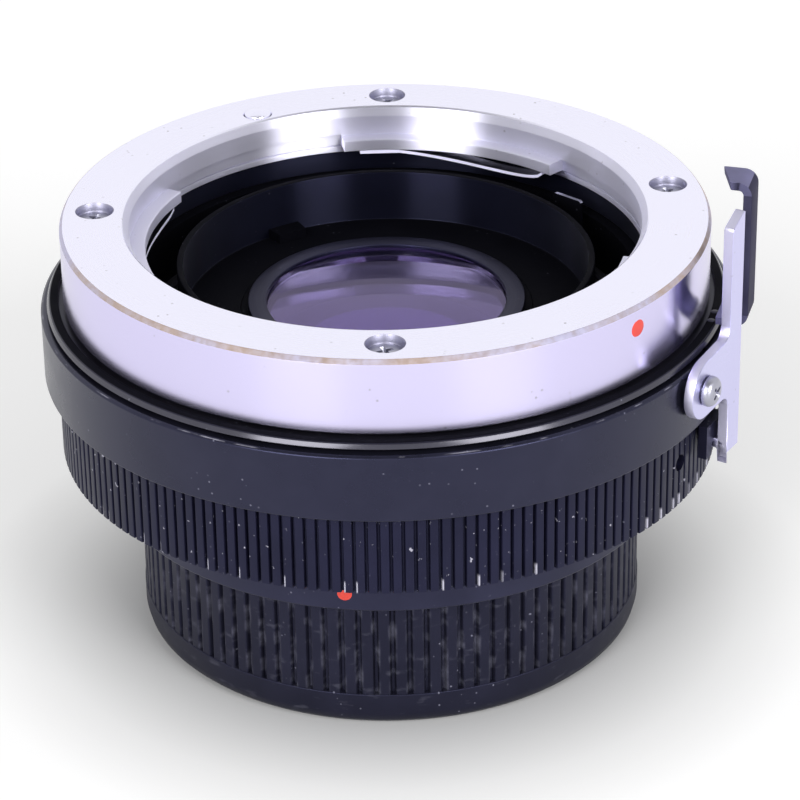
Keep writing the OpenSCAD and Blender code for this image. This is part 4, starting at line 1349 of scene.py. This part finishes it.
# %% Floor
FLOOR_M = 3.0
FLOOR_WHITE = (0.73, 0.73, 0.73)
NEAR_SHADE_GREY = (0.6, 0.6, 0.6)
NEAR_R, PALE_R, MIDDLE_R, FAR_R = 24, 34, 42, 130
MIDDLE_LIFT, FAR_LIFT = 0.36, 0.13


def seen_rays(tree):
    """1 for rays that show a surface: to the camera, in a mirror or through glass."""
    path = add(tree, "ShaderNodeLightPath", {})
    seen = sums(tree, "MAXIMUM", path.outputs["Is Camera Ray"], path.outputs["Is Glossy Ray"])
    return sums(tree, "MAXIMUM", seen, path.outputs["Is Transmission Ray"])


floor_bm = bmesh.new()
bmesh.ops.create_grid(floor_bm, x_segments=2, y_segments=2, size=FLOOR_M)
floor = loose_object(floor_bm, "floor")
white_floor, tree, shader = new_finish("white_floor", FLOOR_WHITE, 0.6)
shader.inputs["Specular IOR Level"].default_value = 0.0
shader.inputs["Emission Color"].default_value = (1, 1, 1, 1)
away, _, _ = round_the_axis(tree)
# Greyer floor colour near the object: painted shade at its foot.
pale = mix_color(tree, ramp(tree, away, NEAR_R, PALE_R), NEAR_SHADE_GREY, FLOOR_WHITE)
tree.links.new(pale, shader.inputs["Base Color"])
# The lift starts at 0 next to the object, so the floor stays darker there: painted shade.
rise = ramp(tree, away, NEAR_R, MIDDLE_R, 0.0, MIDDLE_LIFT)
lift = sums(tree, "ADD", rise, ramp(tree, away, MIDDLE_R, FAR_R, 0.0, FAR_LIFT))
tree.links.new(sums(tree, "MULTIPLY", seen_rays(tree), lift), shader.inputs["Emission Strength"])
floor.data.materials.append(white_floor)
print("floor of", 2 * FLOOR_M, "metres")

# %% Room
ROOM_LIGHT = 0.36
CEILING_SHADE = 0.8
world = bpy.data.worlds.new("pale_room")
bpy.context.scene.world = world
world.use_nodes = True
tree = world.node_tree
tree.nodes.clear()
way = add(tree, "ShaderNodeTexCoord", {}).outputs["Generated"]
_, depth, height = add(tree, "ShaderNodeSeparateXYZ", {0: way}).outputs
ceiling = ramp(tree, height, 0.6, 0.85, 0.0, CEILING_SHADE)
shade = sums(tree, "MULTIPLY", ceiling, ramp(tree, depth, -0.2, 0.2, 1.0, 0.0))
wall = sums(tree, "SUBTRACT", 1.0, shade)
seen = seen_rays(tree)
lit = sums(tree, "MULTIPLY", sums(tree, "SUBTRACT", 1.0, seen), ROOM_LIGHT)
room = add(tree, "ShaderNodeBackground", {"Color": (1, 1, 1, 1)})
tree.links.new(sums(tree, "ADD", lit, sums(tree, "MULTIPLY", seen, wall)), room.inputs["Strength"])
add(tree, "ShaderNodeOutputWorld", {"Surface": room.outputs[0]})
print("room lights the object with", ROOM_LIGHT)

# %% Lamps
BOX_HEIGHT = math.radians(26)
BOX_AWAY = 0.9
BOX_SIZE = (0.42, 0.62)
BOX_WATTS = 5.6


def soft_box(name, azimuth):
    """An area lamp that faces the object; azimuth is counted from the camera's side to the right."""
    lamp = bpy.data.lights.new(name, "AREA")
    lamp.shape, lamp.energy = "RECTANGLE", BOX_WATTS
    lamp.size, lamp.size_y = BOX_SIZE
    a, e = math.radians(azimuth), BOX_HEIGHT
    place = Vector((math.sin(a) * math.cos(e), -math.cos(a) * math.cos(e), math.sin(e))) * BOX_AWAY
    box = bpy.data.objects.new(name, lamp)
    box.location = place
    box.rotation_euler = place.to_track_quat("Z", "Y").to_euler()
    bpy.context.scene.collection.objects.link(box)
    print(name, "at", [round(c, 3) for c in place])


soft_box("soft_box_right", 37)
soft_box("soft_box_left", -29)

# %% [markdown]
# ## Camera
# The photograph was taken from a little above and close by. The camera stands where its ellipses and upright
# edges say, with a long lens, a small shift for the framing and a slight roll of the hand.

# %% Camera
ELEVATION = math.radians(27.63)
DISTANCE = 0.32
AIM = Vector((0, 0, 0.025))
ROLL = -1.03
SENSOR = 36
FOCAL = 152.63
SHIFT_X, SHIFT_Y = 0.01536, -0.0456
eye = bpy.data.cameras.new("camera")
eye.sensor_width = SENSOR
eye.lens = FOCAL
eye.shift_x, eye.shift_y = SHIFT_X, SHIFT_Y
eye.clip_start = 0.01
eye.dof.use_dof = False
camera = bpy.data.objects.new("camera", eye)
camera.location = AIM + Vector((0, -math.cos(ELEVATION), math.sin(ELEVATION))) * DISTANCE
camera.rotation_euler = (Matrix.Rotation(math.radians(90) - ELEVATION, 4, "X") @ about_axis(ROLL)).to_euler()
bpy.context.scene.collection.objects.link(camera)
bpy.context.scene.camera = camera
bpy.context.scene.view_settings.view_transform = "Standard"
print("camera at", [round(c, 4) for c in camera.location])
